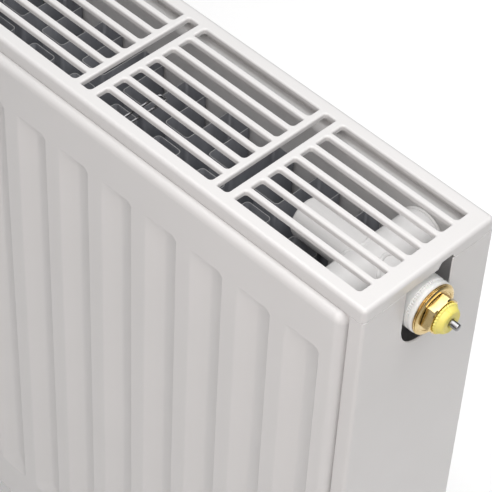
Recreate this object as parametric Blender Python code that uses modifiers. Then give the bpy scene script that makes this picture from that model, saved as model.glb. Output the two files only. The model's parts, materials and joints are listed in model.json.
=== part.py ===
"""Steel panel radiator, two panels and two rows of fins, with a built-in valve.

Metres, +Z up. X runs along the radiator, Y from its front to the wall. The origin is on the wall,
in the middle of the length, at the height of the upper hanging lugs.
"""

import math

import bmesh
import bpy
from mathutils import Matrix, Vector

MM = 0.001
GAP = 0.3 * MM

# Driving dimensions
LENGTH = 500 * MM
HEIGHT = 400 * MM
DEPTH = 93 * MM
PANEL_STEP = 5 * MM
STANDOFF = 8 * MM
LUG_DROP = 60 * MM

RIGHT = LENGTH / 2
TOP = LUG_DROP
BOTTOM = TOP - HEIGHT
REAR = -(STANDOFF + PANEL_STEP)
FRONT = REAR - DEPTH
MIDDLE = (FRONT + REAR) / 2

# Pressed sheets
SHEET = 1.2 * MM
GROOVES = 14
GROOVE_PITCH = 33.27 * MM
GROOVE_DEPTH = 4.2 * MM
GROOVE_WALL = 9.8 * MM
GROOVE_FLOOR = 8.4 * MM
FIRST_CREST_EDGE = 19.6 * MM
PANEL_SIDE = 9.9 * MM
PANEL_TOP = 9.6 * MM
PANEL_FOOT = 3.2 * MM
GROOVE_INSET = 30 * MM
SEAM_WIDTH = 6.3 * MM
SEAM_FRONT = 1.3 * MM
ROUNDING = 4.6 * MM
HEADER = 36 * MM

# Grille
GRILLE_SHEET = 1.0 * MM
FLANGE = 9.0 * MM
END_FLANGE = 8.0 * MM
LIP = 3.0 * MM
SLOTS = 7
SLOT_PITCH = 11.43 * MM
SLOT_WIDTH = 8.43 * MM
SLOT_LENGTH = 84 * MM
FIRST_SLOT = 7.75 * MM
SECTIONS = 5
SECTION_PITCH = 100 * MM
BORDER = 10.8 * MM
BAR = 3.9 * MM
CROSS_SLOT = 7.6 * MM
WIRE_R = 0.8 * MM
CLIP_IN = 174.6 * MM
CLIP_REACH = 36 * MM
WIDE_BAR = SECTION_PITCH - SLOT_LENGTH - BAR - CROSS_SLOT

# Fins
FIN_SHEET = 0.5 * MM
FIN_PITCH = 33.27 * MM
FIN_CREST = 17.4 * MM
FIN_TOP = 42 * MM
FIN_BOTTOM = 355 * MM
FIN_DEPTH = 31.5 * MM
FIN_STRIPS = (("right", 3), ("mid_right", 3), ("mid_left", 3), ("left", 2))
FIN_ROUND = 2.2 * MM
FIN_START = 62.2 * MM
INNER_CREST = 10 * MM

# Waterways
TEE_IN = 35 * MM
TEE_DROP = 28.5 * MM
TEE_RISE = 30.5 * MM
CROSS_R = 13 * MM
BRANCH_R = 11.5 * MM
BORE_R = 9 * MM
PIPE_R = 6 * MM
PIPE_BORE = 5 * MM
RISER_IN = 54.5 * MM
NIPPLE_SPACING = 50 * MM
NIPPLE_R = 13.2 * MM
NIPPLE_TOP = 383.5 * MM
NIPPLE_END = 399.5 * MM

# Side covers
COVER_SHEET = 1.0 * MM
COVER_RETURN = 9.0 * MM
WINDOW_FRONT = 29.6 * MM
WINDOW_REAR = 63.0 * MM
WINDOW_DEPTH = 51.5 * MM
WINDOW_ROUND = 16.5 * MM

WHITE = (0.86, 0.87, 0.88)
GREY = (0.22, 0.23, 0.24)
BRASS = (0.72, 0.52, 0.22)
STEEL = (0.55, 0.56, 0.58)
YELLOW = (0.86, 0.66, 0.08)
BLACK = (0.02, 0.02, 0.02)


def clear_scene():
    for obj in list(bpy.data.objects):
        bpy.data.objects.remove(obj)


clear_scene()
PARTS = bpy.data.collections.new("panel_radiator")
CUTTERS = bpy.data.collections.new("cutters")
bpy.context.scene.collection.children.link(PARTS)
bpy.context.scene.collection.children.link(CUTTERS)
CUTTERS.hide_render = True


def finish(name, color, metallic=0.0, roughness=0.4):
    """A material of its own for the piece called name."""
    material = bpy.data.materials.new(name)
    material.use_nodes = True
    shader = material.node_tree.nodes["Principled BSDF"]
    shader.inputs["Base Color"].default_value = (*color, 1)
    shader.inputs["Metallic"].default_value = metallic
    shader.inputs["Roughness"].default_value = roughness
    return material


def add_object(name, data, look=None, place=(0, 0, 0)):
    """Links a new object as a part, or as a cutter when it has no look."""
    obj = bpy.data.objects.new(name, data)
    obj.location = place
    if look is None:
        CUTTERS.objects.link(obj)
        obj.display_type = "WIRE"
        obj.hide_render = True
        return obj
    PARTS.objects.link(obj)
    data.materials.append(finish(name, *look))
    return obj


def from_bmesh(name, mesh, look=None, place=(0, 0, 0)):
    data = bpy.data.meshes.new(name)
    mesh.to_mesh(data)
    mesh.free()
    return add_object(name, data, look, place)


def box(name, low, high, look=None):
    """A box between two corners, with its origin at its middle."""
    low = Vector(low)
    high = Vector(high)
    mesh = bmesh.new()
    bmesh.ops.create_cube(mesh, size=1, matrix=Matrix.Diagonal((*(high - low), 1)))
    return from_bmesh(name, mesh, look, (low + high) / 2)


def boxes(name, corners):
    """One cutter made of several boxes that stand apart."""
    mesh = bmesh.new()
    for low, high in corners:
        size = Vector(high) - Vector(low)
        middle = (Vector(high) + Vector(low)) / 2
        shape = Matrix.Translation(middle) @ Matrix.Diagonal((*size, 1))
        bmesh.ops.create_cube(mesh, size=1, matrix=shape)
    return from_bmesh(name, mesh)


def rod(name, start, end, radius, sides=28, look=None):
    """A solid cylinder between two points."""
    start = Vector(start)
    end = Vector(end)
    mesh = bmesh.new()
    bmesh.ops.create_cone(
        mesh, cap_ends=True, segments=sides, radius1=radius, radius2=radius, depth=(end - start).length
    )
    obj = from_bmesh(name, mesh, look, (start + end) / 2)
    obj.rotation_euler = (end - start).to_track_quat("Z", "Y").to_euler()
    return obj


def boolean(obj, other, operation="DIFFERENCE"):
    modifier = obj.modifiers.new(other.name, "BOOLEAN")
    modifier.object = other
    modifier.operation = operation
    modifier.solver = "EXACT"


def turned(name, profile, place, turn, look, steps=28, start=0):
    """A turned piece. The profile lists (radius, height) from the top, down the outer side.

    The profile stands at the angle start, where a piece of few steps has its first corner.
    """
    mesh = bmesh.new()
    across = math.cos(start), math.sin(start)
    points = [mesh.verts.new((radius * across[0], radius * across[1], height)) for radius, height in profile]
    for first, second in zip(points, points[1:]):
        mesh.edges.new((first, second))
    if profile[0][0] > 0:
        mesh.edges.new((points[-1], points[0]))
    obj = from_bmesh(name, mesh, look, place)
    obj.rotation_euler = turn
    screw = obj.modifiers.new("turn", "SCREW")
    screw.steps = steps
    screw.render_steps = steps
    screw.use_merge_vertices = True
    screw.merge_threshold = 1e-6
    return obj


def ring(name, inner, outer, thickness, place, turn, look, steps=18):
    """A flat turned ring that stands on its place."""
    profile = [(inner, thickness), (outer, thickness), (outer, 0), (inner, 0)]
    return turned(name, profile, place, turn, look, steps)


def seal(name, middle_radius, section, place, turn, look):
    """A round seal, centred on its place."""
    profile = []
    for step in range(6):
        angle = math.pi / 2 - step * math.tau / 6
        profile.append((middle_radius + section * math.cos(angle), section * math.sin(angle)))
    return turned(name, profile, place, turn, look, 16)


def arc(radius, steps):
    """Offsets (across, up) of a quarter rounding, from its start to its end."""
    for step in range(steps + 1):
        angle = math.pi / 2 * step / steps
        yield radius * math.sin(angle), radius * (1 - math.cos(angle))


TURN_RIGHT = (0, math.pi / 2, 0)
TURN_LEFT = (0, -math.pi / 2, 0)
PAINT = (WHITE, 0.0, 0.35)
GALVANISED = (GREY, 0.0, 0.5)
BRASS_LOOK = (BRASS, 1.0, 0.3)
STEEL_LOOK = (STEEL, 1.0, 0.3)
RUBBER = (BLACK, 0.0, 0.7)
PLASTIC = (WHITE, 0.0, 0.45)


# ---------------------------------------------------------------- pressed panels


def across(rise, floor, wall, bottom, first_edge):
    """(x, rise of the rim, share of the groove) along the sheet, from its right end to its left."""
    stations = [(RIGHT - PANEL_SIDE + SEAM_WIDTH, 0, 0)]
    stations += rim(rise, RIGHT - PANEL_SIDE, -1)
    for groove in range(GROOVES):
        edge = RIGHT - first_edge - groove * GROOVE_PITCH
        stations.append((edge, rise, 0))
        stations.append((edge - wall, rise, floor))
        stations.append((edge - wall - bottom, rise, floor))
        stations.append((edge - 2 * wall - bottom, rise, 0))
    stations += reversed(rim(rise, -RIGHT + PANEL_SIDE, 1))
    stations.append((-RIGHT + PANEL_SIDE - SEAM_WIDTH, 0, 0))
    return stations


def rim(rise, start, side):
    """The rounded step from the seam to the raised face, for one edge of a sheet."""
    stations = [(start, 0, 0)]
    flat = rise - ROUNDING
    for along, up in arc(ROUNDING, 3):
        stations.append((start + side * up, flat + along, 0))
    return stations


def down(rise, inset, taper):
    """(z, rise of the rim, share of the groove) down the sheet."""
    head = TOP - PANEL_TOP
    foot = BOTTOM + PANEL_FOOT
    stations = [(head + SEAM_WIDTH, 0, 0)]
    stations += rim(rise, head, -1)
    stations.append((head - inset, rise, 0))
    stations.append((head - inset - taper, rise, 1))
    stations.append((foot + inset + taper, rise, 1))
    stations.append((foot + inset, rise, 0))
    stations += reversed(rim(rise, foot, 1))
    stations.append((BOTTOM, 0, 0))
    return stations


def pressed_sheet(name, seam, outward, columns, rows, look):
    """A pressed sheet. seam is the y of the face that is shaped, and outward the way it is raised."""
    mesh = bmesh.new()
    bmesh.ops.create_grid(mesh, x_segments=len(columns) - 1, y_segments=len(rows) - 1, size=1)
    for vertex in mesh.verts:
        x, rise_x, groove = columns[round((vertex.co.x + 1) / 2 * (len(columns) - 1))]
        z, rise_z, share = rows[round((vertex.co.y + 1) / 2 * (len(rows) - 1))]
        vertex.co = (x, seam + outward * (min(rise_x, rise_z) - groove * share), z)
    bmesh.ops.remove_doubles(mesh, verts=mesh.verts, dist=MM / 100)
    bmesh.ops.dissolve_degenerate(mesh, edges=mesh.edges, dist=MM / 100)
    bmesh.ops.dissolve_limit(mesh, angle_limit=math.radians(0.2), verts=mesh.verts, edges=mesh.edges)
    mesh.normal_update()
    if sum(face.normal.y * face.calc_area() for face in mesh.faces) * outward < 0:
        bmesh.ops.reverse_faces(mesh, faces=mesh.faces)
    obj = from_bmesh(name, mesh, look)
    shell = obj.modifiers.new("sheet", "SOLIDIFY")
    shell.thickness = SHEET
    shell.offset = -1
    shell.use_even_offset = True
    return obj


def make_panel(side, seam, outward):
    """The outer and inner sheet of one panel. seam is the y of its outermost seam face."""
    rise = PANEL_STEP + SEAM_FRONT
    columns = across(rise, GROOVE_DEPTH, GROOVE_WALL, GROOVE_FLOOR, FIRST_CREST_EDGE)
    rows = down(rise, GROOVE_INSET - ROUNDING, ROUNDING * 2)
    pressed_sheet(f"{side}_panel_outer_sheet", seam, outward, columns, rows, PAINT)

    rise = INNER_CREST - SEAM_FRONT - 2 * SHEET - GAP
    floor = rise + SEAM_FRONT + 2 * SHEET + GAP - 1.9 * MM
    land = GROOVE_FLOOR - 0.6 * MM
    wall = (GROOVE_PITCH - land - FIN_CREST + 3.4 * MM) / 2
    edge = FIRST_CREST_EDGE + GROOVE_WALL + GROOVE_FLOOR / 2 - land / 2 - wall
    columns = across(rise, floor, wall, land, edge)
    rows = down(rise, HEADER, ROUNDING * 2)
    back = seam - outward * (2 * SHEET + GAP)
    pressed_sheet(f"{side}_panel_inner_sheet", back, -outward, columns, rows, PAINT)


# ---------------------------------------------------------------- fins


def fin_outline(first, count):
    """Points (x, depth from the panel) of one folded strip, from its right end to its left.

    first is the number of waves to its right, and count is how many it has itself.
    """
    base = FIN_PITCH - FIN_CREST
    right = RIGHT - FIN_START - first * FIN_PITCH
    half_base = base / 2 - GAP
    points = [(right - FIN_ROUND + half_base, 0)]
    for wave in range(count):
        start = right - FIN_ROUND - wave * FIN_PITCH
        end = start - FIN_CREST
        for along, up in arc(FIN_ROUND, 2):
            points.append((start + FIN_ROUND - along, up))
        for along, up in arc(FIN_ROUND, 2):
            points.append((start - up, FIN_DEPTH - FIN_ROUND + along))
        for along, up in arc(FIN_ROUND, 2):
            points.append((end + FIN_ROUND - along, FIN_DEPTH - up))
        for along, up in arc(FIN_ROUND, 2):
            points.append((end - up, FIN_ROUND - along))
    points.append((points[-1][0] - half_base + FIN_ROUND, 0))
    return points


def make_fins(side, seat, outward, shift):
    """One row of fins, as strips side by side. seat is the y of the panel face they stand off."""
    first = 0
    for place, count in FIN_STRIPS:
        mesh = bmesh.new()
        last = None
        for x, depth in fin_outline(first, count):
            vertex = mesh.verts.new((x + shift, seat + outward * depth, TOP - FIN_TOP))
            if last is not None:
                mesh.edges.new((last, vertex))
            last = vertex
        swept = bmesh.ops.extrude_edge_only(mesh, edges=mesh.edges)
        lower = [item for item in swept["geom"] if isinstance(item, bmesh.types.BMVert)]
        bmesh.ops.translate(mesh, verts=lower, vec=(0, 0, FIN_TOP - FIN_BOTTOM))
        obj = from_bmesh(f"{side}_convector_{place}", mesh, GALVANISED)
        shell = obj.modifiers.new("sheet", "SOLIDIFY")
        shell.thickness = FIN_SHEET
        shell.offset = 0
        shell.use_even_offset = True
        first += count


# ---------------------------------------------------------------- grille


def slot_boxes():
    """The lengthwise slots, and the slots across between the sections."""
    low = TOP - 10 * MM
    high = TOP + 5 * MM
    lengthwise = []
    crosswise = []
    for section in range(SECTIONS):
        right = RIGHT - BORDER - section * SECTION_PITCH
        left = right - SLOT_LENGTH
        if section == SECTIONS - 1:
            left = -RIGHT + BORDER
        for slot in range(SLOTS):
            front = FRONT + FIRST_SLOT + slot * SLOT_PITCH
            lengthwise.append(((left, front, low), (right, front + SLOT_WIDTH, high)))
        if section > 0:
            start = right + BAR
            rear = FRONT + FIRST_SLOT + (SLOTS - 1) * SLOT_PITCH + SLOT_WIDTH
            crosswise.append(((start, FRONT + FIRST_SLOT, low), (start + CROSS_SLOT, rear, high)))
    return lengthwise, crosswise


def underside(lengthwise, crosswise):
    """Pockets under the slats and bars, which leave a lip along the rear and left edge of each slot."""
    low = TOP - 10 * MM
    high = TOP - GRILLE_SHEET
    reach = 2 * MM
    slats = []
    for (left, front, _), (right, rear, _) in lengthwise:
        first = front - SLOT_PITCH + SLOT_WIDTH + GRILLE_SHEET
        if front < FRONT + FIRST_SLOT + reach:
            first = FRONT + GRILLE_SHEET + GAP
        slats.append(((left + GAP, first, low), (right + reach, front + reach, high)))
    rear_edge = FRONT + FIRST_SLOT + (SLOTS - 1) * SLOT_PITCH + SLOT_WIDTH + GRILLE_SHEET
    rear_strip = (-RIGHT + 3 * MM, rear_edge, low), (RIGHT - 3 * MM, REAR - GRILLE_SHEET - GAP, high)
    bars = []
    front = FRONT + GRILLE_SHEET + 2 * GAP
    rear = REAR - GRILLE_SHEET - 2 * GAP
    for (left, _, _), (right, _, _) in crosswise:
        bars.append(((right - reach, front, low), (right + WIDE_BAR - GRILLE_SHEET, rear, high)))
        bars.append(((left - BAR - reach, front, low), (left - GRILLE_SHEET, rear, high)))
    bars.append(((RIGHT - BORDER - reach, front, low), (RIGHT - GRILLE_SHEET - GAP, rear, high)))
    left = -RIGHT + GRILLE_SHEET + GAP
    bars.append(((left, front, low), (-RIGHT + BORDER - GRILLE_SHEET, rear, high)))
    return [*slats, rear_strip], bars


def make_grille():
    grille = box("top_grille", (-RIGHT, FRONT, TOP - FLANGE), (RIGHT, REAR, TOP), PAINT)
    rounded = grille.modifiers.new("rounding", "BEVEL")
    rounded.width = 2.5 * MM
    rounded.segments = 3
    rounded.limit_method = "WEIGHT"
    edges = grille.data.attributes.new("bevel_weight_edge", "FLOAT", "EDGE")
    for edge in grille.data.edges:
        ends = [grille.data.vertices[index].co for index in edge.vertices]
        if min(end.z for end in ends) > 0 or ends[0].z * ends[1].z < 0:
            edges.data[edge.index].value = 1
    wall = GRILLE_SHEET
    hollow_low = (-RIGHT + wall, FRONT + wall, TOP - FLANGE - 5 * MM)
    hollow_high = (RIGHT - wall, REAR - wall, TOP - LIP)
    boolean(grille, box("grille_hollow", hollow_low, hollow_high))
    for name, side in (("right", 1), ("left", -1)):
        low = (side * RIGHT - 4 * MM, FRONT + 3 * MM, TOP - FLANGE - 5 * MM)
        high = (side * RIGHT + 4 * MM, REAR - 3 * MM, TOP - END_FLANGE)
        boolean(grille, box(f"end_flange_{name}", low, high))
    lengthwise, crosswise = slot_boxes()
    for name, corners in zip(("slat_pockets", "bar_pockets"), underside(lengthwise, crosswise)):
        boolean(grille, boxes(name, corners))
    slots = boxes("slots", [*lengthwise, *crosswise])
    corners = slots.modifiers.new("corners", "BEVEL")
    corners.width = 1.6 * MM
    corners.segments = 1
    corners.limit_method = "WEIGHT"
    weights = slots.data.attributes.new("bevel_weight_edge", "FLOAT", "EDGE")
    for edge in slots.data.edges:
        first, second = (slots.data.vertices[index].co for index in edge.vertices)
        weights.data[edge.index].value = float(abs(first.z - second.z) > MM)
    boolean(grille, slots)


# ---------------------------------------------------------------- side covers


def make_cover(name, side):
    """A cover that wraps the end, open at its inner side, top and bottom, with a window for the valve."""
    outer = side * RIGHT
    inner = side * (RIGHT - COVER_RETURN)
    head = TOP - FLANGE - 2 * GAP
    foot = BOTTOM + 2 * MM
    low = (min(outer, inner), FRONT, foot)
    cover = box(name, low, (max(outer, inner), REAR, head), PAINT)
    rounded = cover.modifiers.new("corners", "BEVEL")
    rounded.width = 2.2 * MM
    rounded.segments = 3
    rounded.limit_method = "WEIGHT"
    weights = cover.data.attributes.new("bevel_weight_edge", "FLOAT", "EDGE")
    for edge in cover.data.edges:
        first, second = (cover.data.vertices[index].co for index in edge.vertices)
        upright = abs(first.z - second.z) > MM and first.x * side > 0
        weights.data[edge.index].value = float(upright)
    wall = COVER_SHEET
    hollow_low = (inner - 5 * MM, FRONT + wall, foot - 5 * MM)
    hollow_high = (outer - wall, REAR - wall, head + 5 * MM)
    if side < 0:
        hollow_low = (outer + wall, FRONT + wall, foot - 5 * MM)
        hollow_high = (inner + 5 * MM, REAR - wall, head + 5 * MM)
    boolean(cover, box(name + "_hollow", hollow_low, hollow_high))
    window_low = (outer - 5 * MM, FRONT + WINDOW_FRONT, TOP - WINDOW_DEPTH)
    window_high = (outer + 5 * MM, FRONT + WINDOW_REAR, TOP + 5 * MM)
    window = box(name + "_window", window_low, window_high)
    round_window = window.modifiers.new("corners", "BEVEL")
    round_window.width = WINDOW_ROUND
    round_window.segments = 4
    round_window.limit_method = "WEIGHT"
    weights = window.data.attributes.new("bevel_weight_edge", "FLOAT", "EDGE")
    for edge in window.data.edges:
        first, second = (window.data.vertices[index].co for index in edge.vertices)
        low_edge = first.z < 0 and second.z < 0 and abs(first.x - second.x) > MM
        weights.data[edge.index].value = float(low_edge)
    boolean(cover, window)


# ---------------------------------------------------------------- tees, pipes and nipples

VALVE_Z = TOP - TEE_DROP
FOOT_Z = BOTTOM + TEE_RISE
TEE_X = RIGHT - TEE_IN
RISER_X = RIGHT - RISER_IN
FLOW_X = TEE_X - NIPPLE_SPACING
BRANCH_END = RIGHT - 6.3 * MM
TEE_FRONT = FRONT + INNER_CREST + GAP
TEE_REAR = REAR - INNER_CREST - GAP


def make_tee(name, side, z, branch_end, branch_start=None):
    """A tube across the two panels with a branch along X. Both are bored."""
    x = side * TEE_X
    start = x if branch_start is None else branch_start
    tee = rod(name, (x, TEE_FRONT, z), (x, TEE_REAR, z), CROSS_R, look=PAINT)
    branch = rod(name + "_branch", (start, MIDDLE, z), (branch_end, MIDDLE, z), BRANCH_R)
    boolean(tee, branch, "UNION")
    reach = 5 * MM
    bore = rod(name + "_bore", (x, TEE_FRONT - reach, z), (x, TEE_REAR + reach, z), CROSS_R - 2.5 * MM)
    boolean(tee, bore)
    mouth = rod(name + "_mouth", (x, MIDDLE, z), (branch_end + side * reach, MIDDLE, z), BORE_R)
    boolean(tee, mouth)
    return tee


def make_valve_tee():
    """The upper right tee. Its branch runs on past the tube and takes the riser from below."""
    blind = RIGHT - 84 * MM
    tee = make_tee("valve_tee", 1, VALVE_Z, RIGHT - 2.3 * MM, blind)
    socket_end = VALVE_Z - BRANCH_R - 6 * MM
    socket = rod("riser_socket", (RISER_X, MIDDLE, VALVE_Z - 5 * MM), (RISER_X, MIDDLE, socket_end), 7.2 * MM)
    boolean(tee, socket, "UNION")
    seat = RIGHT - 46 * MM
    wall = 3 * MM
    right_chamber = rod("right_chamber", (TEE_X, MIDDLE, VALVE_Z), (seat, MIDDLE, VALVE_Z), BORE_R)
    left = (blind + 3 * MM, MIDDLE, VALVE_Z)
    left_chamber = rod("left_chamber", left, (seat - wall, MIDDLE, VALVE_Z), BORE_R)
    throat = rod("throat", (seat - 2 * wall, MIDDLE, VALVE_Z), (seat + wall, MIDDLE, VALVE_Z), 5.5 * MM)
    riser_low = (RISER_X, MIDDLE, socket_end - wall)
    riser_bore = rod("riser_bore", riser_low, (RISER_X, MIDDLE, VALVE_Z), PIPE_R + GAP)
    for cutter in (right_chamber, left_chamber, throat, riser_bore):
        boolean(tee, cutter)


def make_return_tee():
    """The lower right tee, drilled from below for the return pipe."""
    tee = make_tee("bottom_tee_right", 1, FOOT_Z, BRANCH_END)
    low = (TEE_X, MIDDLE, FOOT_Z - CROSS_R - 5 * MM)
    boolean(tee, rod("return_bore", low, (TEE_X, MIDDLE, FOOT_Z), PIPE_R + GAP))


def bent_path(points, radius, steps):
    """The points of a path with its corners rounded."""
    path = [Vector(points[0])]
    for before, corner, after in zip(points, points[1:], points[2:]):
        corner = Vector(corner)
        back = (Vector(before) - corner).normalized()
        on = (Vector(after) - corner).normalized()
        middle = corner + (back + on) * radius
        for step in range(steps + 1):
            angle = math.pi / 2 * step / steps
            path.append(middle - on * radius * math.cos(angle) - back * radius * math.sin(angle))
    path.append(Vector(points[-1]))
    return path


def make_pipe(name, path):
    """A pipe along a path: an open tube with its wall inside."""
    curve = bpy.data.curves.new(name, "CURVE")
    curve.dimensions = "3D"
    spline = curve.splines.new("POLY")
    spline.points.add(len(path) - 1)
    for point, place in zip(spline.points, path):
        point.co = (*place, 1)
    curve.bevel_depth = PIPE_R
    curve.bevel_resolution = 3
    obj = add_object(name, curve, PAINT)
    wall = obj.modifiers.new("wall", "SOLIDIFY")
    wall.thickness = PIPE_R - PIPE_BORE
    wall.offset = -1


def make_clip(name, x):
    """A spring wire bent like a hairpin under the grille, with two legs behind the front seam."""
    half = 2.6 * MM
    front = FRONT + SEAM_FRONT + 2 * SHEET + 2 * GAP + WIRE_R
    rear = FRONT + CLIP_REACH
    run = TOP - LIP - 2.2 * MM
    foot = run - 3 * MM
    corners = [
        (x - half, front, foot),
        (x - half, front, run),
        (x - half, rear, run),
        (x + half, rear, run),
        (x + half, front, run),
        (x + half, front, foot),
    ]
    path = bent_path(corners, 2 * WIRE_R, 4)
    curve = bpy.data.curves.new(name, "CURVE")
    curve.dimensions = "3D"
    spline = curve.splines.new("POLY")
    spline.points.add(len(path) - 1)
    for point, place in zip(spline.points, path):
        point.co = (*place, 1)
    curve.bevel_depth = WIRE_R
    curve.bevel_resolution = 2
    curve.use_fill_caps = True
    add_object(name, curve, STEEL_LOOK)


def make_nipple(name, x):
    """A threaded connection at the bottom, which a pipe enters from above."""
    head = NIPPLE_TOP - NIPPLE_END
    socket = PIPE_R + GAP
    flange = NIPPLE_R + 1.3 * MM
    profile = [
        (socket, 0),
        (flange, 0),
        (flange, -3 * MM),
        (NIPPLE_R, -3 * MM),
        (NIPPLE_R, head + MM),
        (NIPPLE_R - MM, head),
        (8 * MM, head),
        (PIPE_BORE, -9 * MM),
        (PIPE_BORE, -7 * MM),
        (socket, -7 * MM),
    ]
    turned(name, profile, (x, MIDDLE, TOP - NIPPLE_TOP), (0, 0, 0), BRASS_LOOK, 22)


def make_waterways():
    make_valve_tee()
    make_return_tee()
    make_tee("top_tee_left", -1, VALVE_Z, -BRANCH_END)
    make_tee("bottom_tee_left", -1, FOOT_Z, -BRANCH_END)
    socket_floor = TOP - NIPPLE_TOP - 6.7 * MM
    run = TOP - 372 * MM
    corners = [
        (RISER_X, MIDDLE, VALVE_Z - BRANCH_R - MM),
        (RISER_X, MIDDLE, run),
        (FLOW_X, MIDDLE, run),
        (FLOW_X, MIDDLE, socket_floor),
    ]
    make_pipe("riser_pipe", bent_path(corners, 10 * MM, 5))
    top_end = FOOT_Z - CROSS_R + 6 * MM
    make_pipe("return_pipe", [(TEE_X, MIDDLE, top_end), (TEE_X, MIDDLE, socket_floor)])
    make_nipple("flow_nipple", FLOW_X)
    make_nipple("return_nipple", TEE_X)


# ---------------------------------------------------------------- plugs and air vent


def make_plug(name, side, z, hole):
    """A screwed plug with a seal under its flange. A hole of some radius can run through it."""
    turn = TURN_RIGHT if side > 0 else TURN_LEFT
    face = side * BRANCH_END
    washer = 1.2 * MM
    ring(name + "_seal", 9.1 * MM, 11.2 * MM, washer, (face + side * GAP, MIDDLE, z), turn, RUBBER)
    profile = [
        (hole, 2.2 * MM),
        (10 * MM, 2.2 * MM),
        (11.4 * MM, 1.4 * MM),
        (11.4 * MM, 0),
        (8.7 * MM, 0),
        (8.7 * MM, -12 * MM),
        (hole, -12 * MM),
    ]
    place = (face + side * (washer + 2 * GAP), MIDDLE, z)
    turned(name, profile, place, turn, BRASS_LOOK if hole else STEEL_LOOK, 24)
    return place[0] + side * 2.2 * MM


def make_vent():
    """The plug with the bleed screw and the turning nozzle, at the upper left."""
    screw_r = 3.2 * MM
    face = make_plug("vent_plug", -1, VALVE_Z, screw_r + GAP)
    nozzle_place = (face - GAP, MIDDLE, VALVE_Z)
    profile = [
        (screw_r + GAP, 4 * MM),
        (6.4 * MM, 4 * MM),
        (7.6 * MM, 3 * MM),
        (7.6 * MM, 0),
        (screw_r + GAP, 0),
    ]
    nozzle = turned("vent_nozzle", profile, nozzle_place, TURN_LEFT, PLASTIC, 24)
    spout = rod("spout", (0, 4.5 * MM, 1.9 * MM), (0, 10 * MM, 1.9 * MM), 1.6 * MM, 12)
    spout.parent = nozzle
    boolean(nozzle, spout, "UNION")
    profile = [(0, 5 * MM), (2.6 * MM, 5 * MM), (screw_r, 4.4 * MM), (screw_r, -9 * MM), (0, -11 * MM)]
    screw = turned("bleed_screw", profile, nozzle_place, TURN_LEFT, BRASS_LOOK, 20)
    square = box("screw_square", (-1.2 * MM, -1.2 * MM, 1 * MM), (1.2 * MM, 1.2 * MM, 8 * MM))
    square.parent = screw
    boolean(screw, square)


# ---------------------------------------------------------------- valve insert

PIN_R = 2.0 * MM
COLLAR_FACE = 3.4 * MM
COLLAR_BACK = 9 * MM
COLLAR_R = 14.8 * MM
INSERT_FACE = 3.7 * MM
INSERT_STEM = 8.7 * MM
INSERT_BORE = 5.6 * MM
NUT_SEAT = 5.7 * MM
NUT_R = 19 * MM / math.sqrt(3)
NUT_TURN = math.radians(41.5)
RING_SEAT = 11.7 * MM


def make_collar():
    """The knurled collar round the insert, which sleeves over the end of the tee."""
    depth = COLLAR_FACE + COLLAR_BACK
    sleeve = COLLAR_BACK - 2 * MM
    profile = [
        (INSERT_STEM + GAP, depth),
        (COLLAR_R - MM, depth),
        (COLLAR_R, depth - MM),
        (COLLAR_R, MM),
        (COLLAR_R - MM, 0),
        (BRANCH_R + GAP, 0),
        (BRANCH_R + GAP, sleeve),
        (INSERT_STEM + GAP, sleeve),
    ]
    place = (RIGHT - COLLAR_BACK, MIDDLE, VALVE_Z)
    turned("valve_collar", profile, place, TURN_RIGHT, PLASTIC, 36)


def make_insert():
    """The brass insert: threaded flange, stem, chamber for the spring and guide for the spindle."""
    recess = NUT_SEAT - INSERT_FACE
    guide = PIN_R + GAP
    profile = [
        (INSERT_BORE, recess),
        (NUT_R + GAP, recess),
        (NUT_R + GAP, recess + GAP),
        (13 * MM, recess + GAP),
        (14.3 * MM, 1.6 * MM),
        (13.5 * MM, 1.1 * MM),
        (14.5 * MM, 0.6 * MM),
        (13.7 * MM, 0),
        (INSERT_STEM, 0),
        (INSERT_STEM, -18 * MM),
        (7 * MM, -18 * MM),
        (7 * MM, -20 * MM),
        (INSERT_STEM, -20 * MM),
        (INSERT_STEM, -26 * MM),
        (6.5 * MM, -28 * MM),
        (guide, -28 * MM),
        (guide, -25 * MM),
        (INSERT_BORE, -25 * MM),
    ]
    turned("insert_body", profile, (RIGHT + INSERT_FACE, MIDDLE, VALVE_Z), TURN_RIGHT, BRASS_LOOK, 26)
    seal_place = (RIGHT + INSERT_FACE - 19 * MM, MIDDLE, VALVE_Z)
    seal("insert_seal", 7.95 * MM, 0.7 * MM, seal_place, TURN_RIGHT, RUBBER)
    height = RING_SEAT - NUT_SEAT - 2 * GAP
    profile = [
        (guide, height),
        (NUT_R - MM, height),
        (NUT_R, height - 0.6 * MM),
        (NUT_R, 0),
        (INSERT_BORE - GAP, 0),
        (INSERT_BORE - GAP, -4 * MM),
        (guide, -4 * MM),
    ]
    nut_place = (RIGHT + NUT_SEAT + GAP, MIDDLE, VALVE_Z)
    turned("gland_nut", profile, nut_place, TURN_RIGHT, BRASS_LOOK, 6, NUT_TURN)
    seal_place = (nut_place[0] - 5.4 * MM, MIDDLE, VALVE_Z)
    seal("gland_seal", 3.4 * MM, MM, seal_place, TURN_RIGHT, RUBBER)


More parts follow.
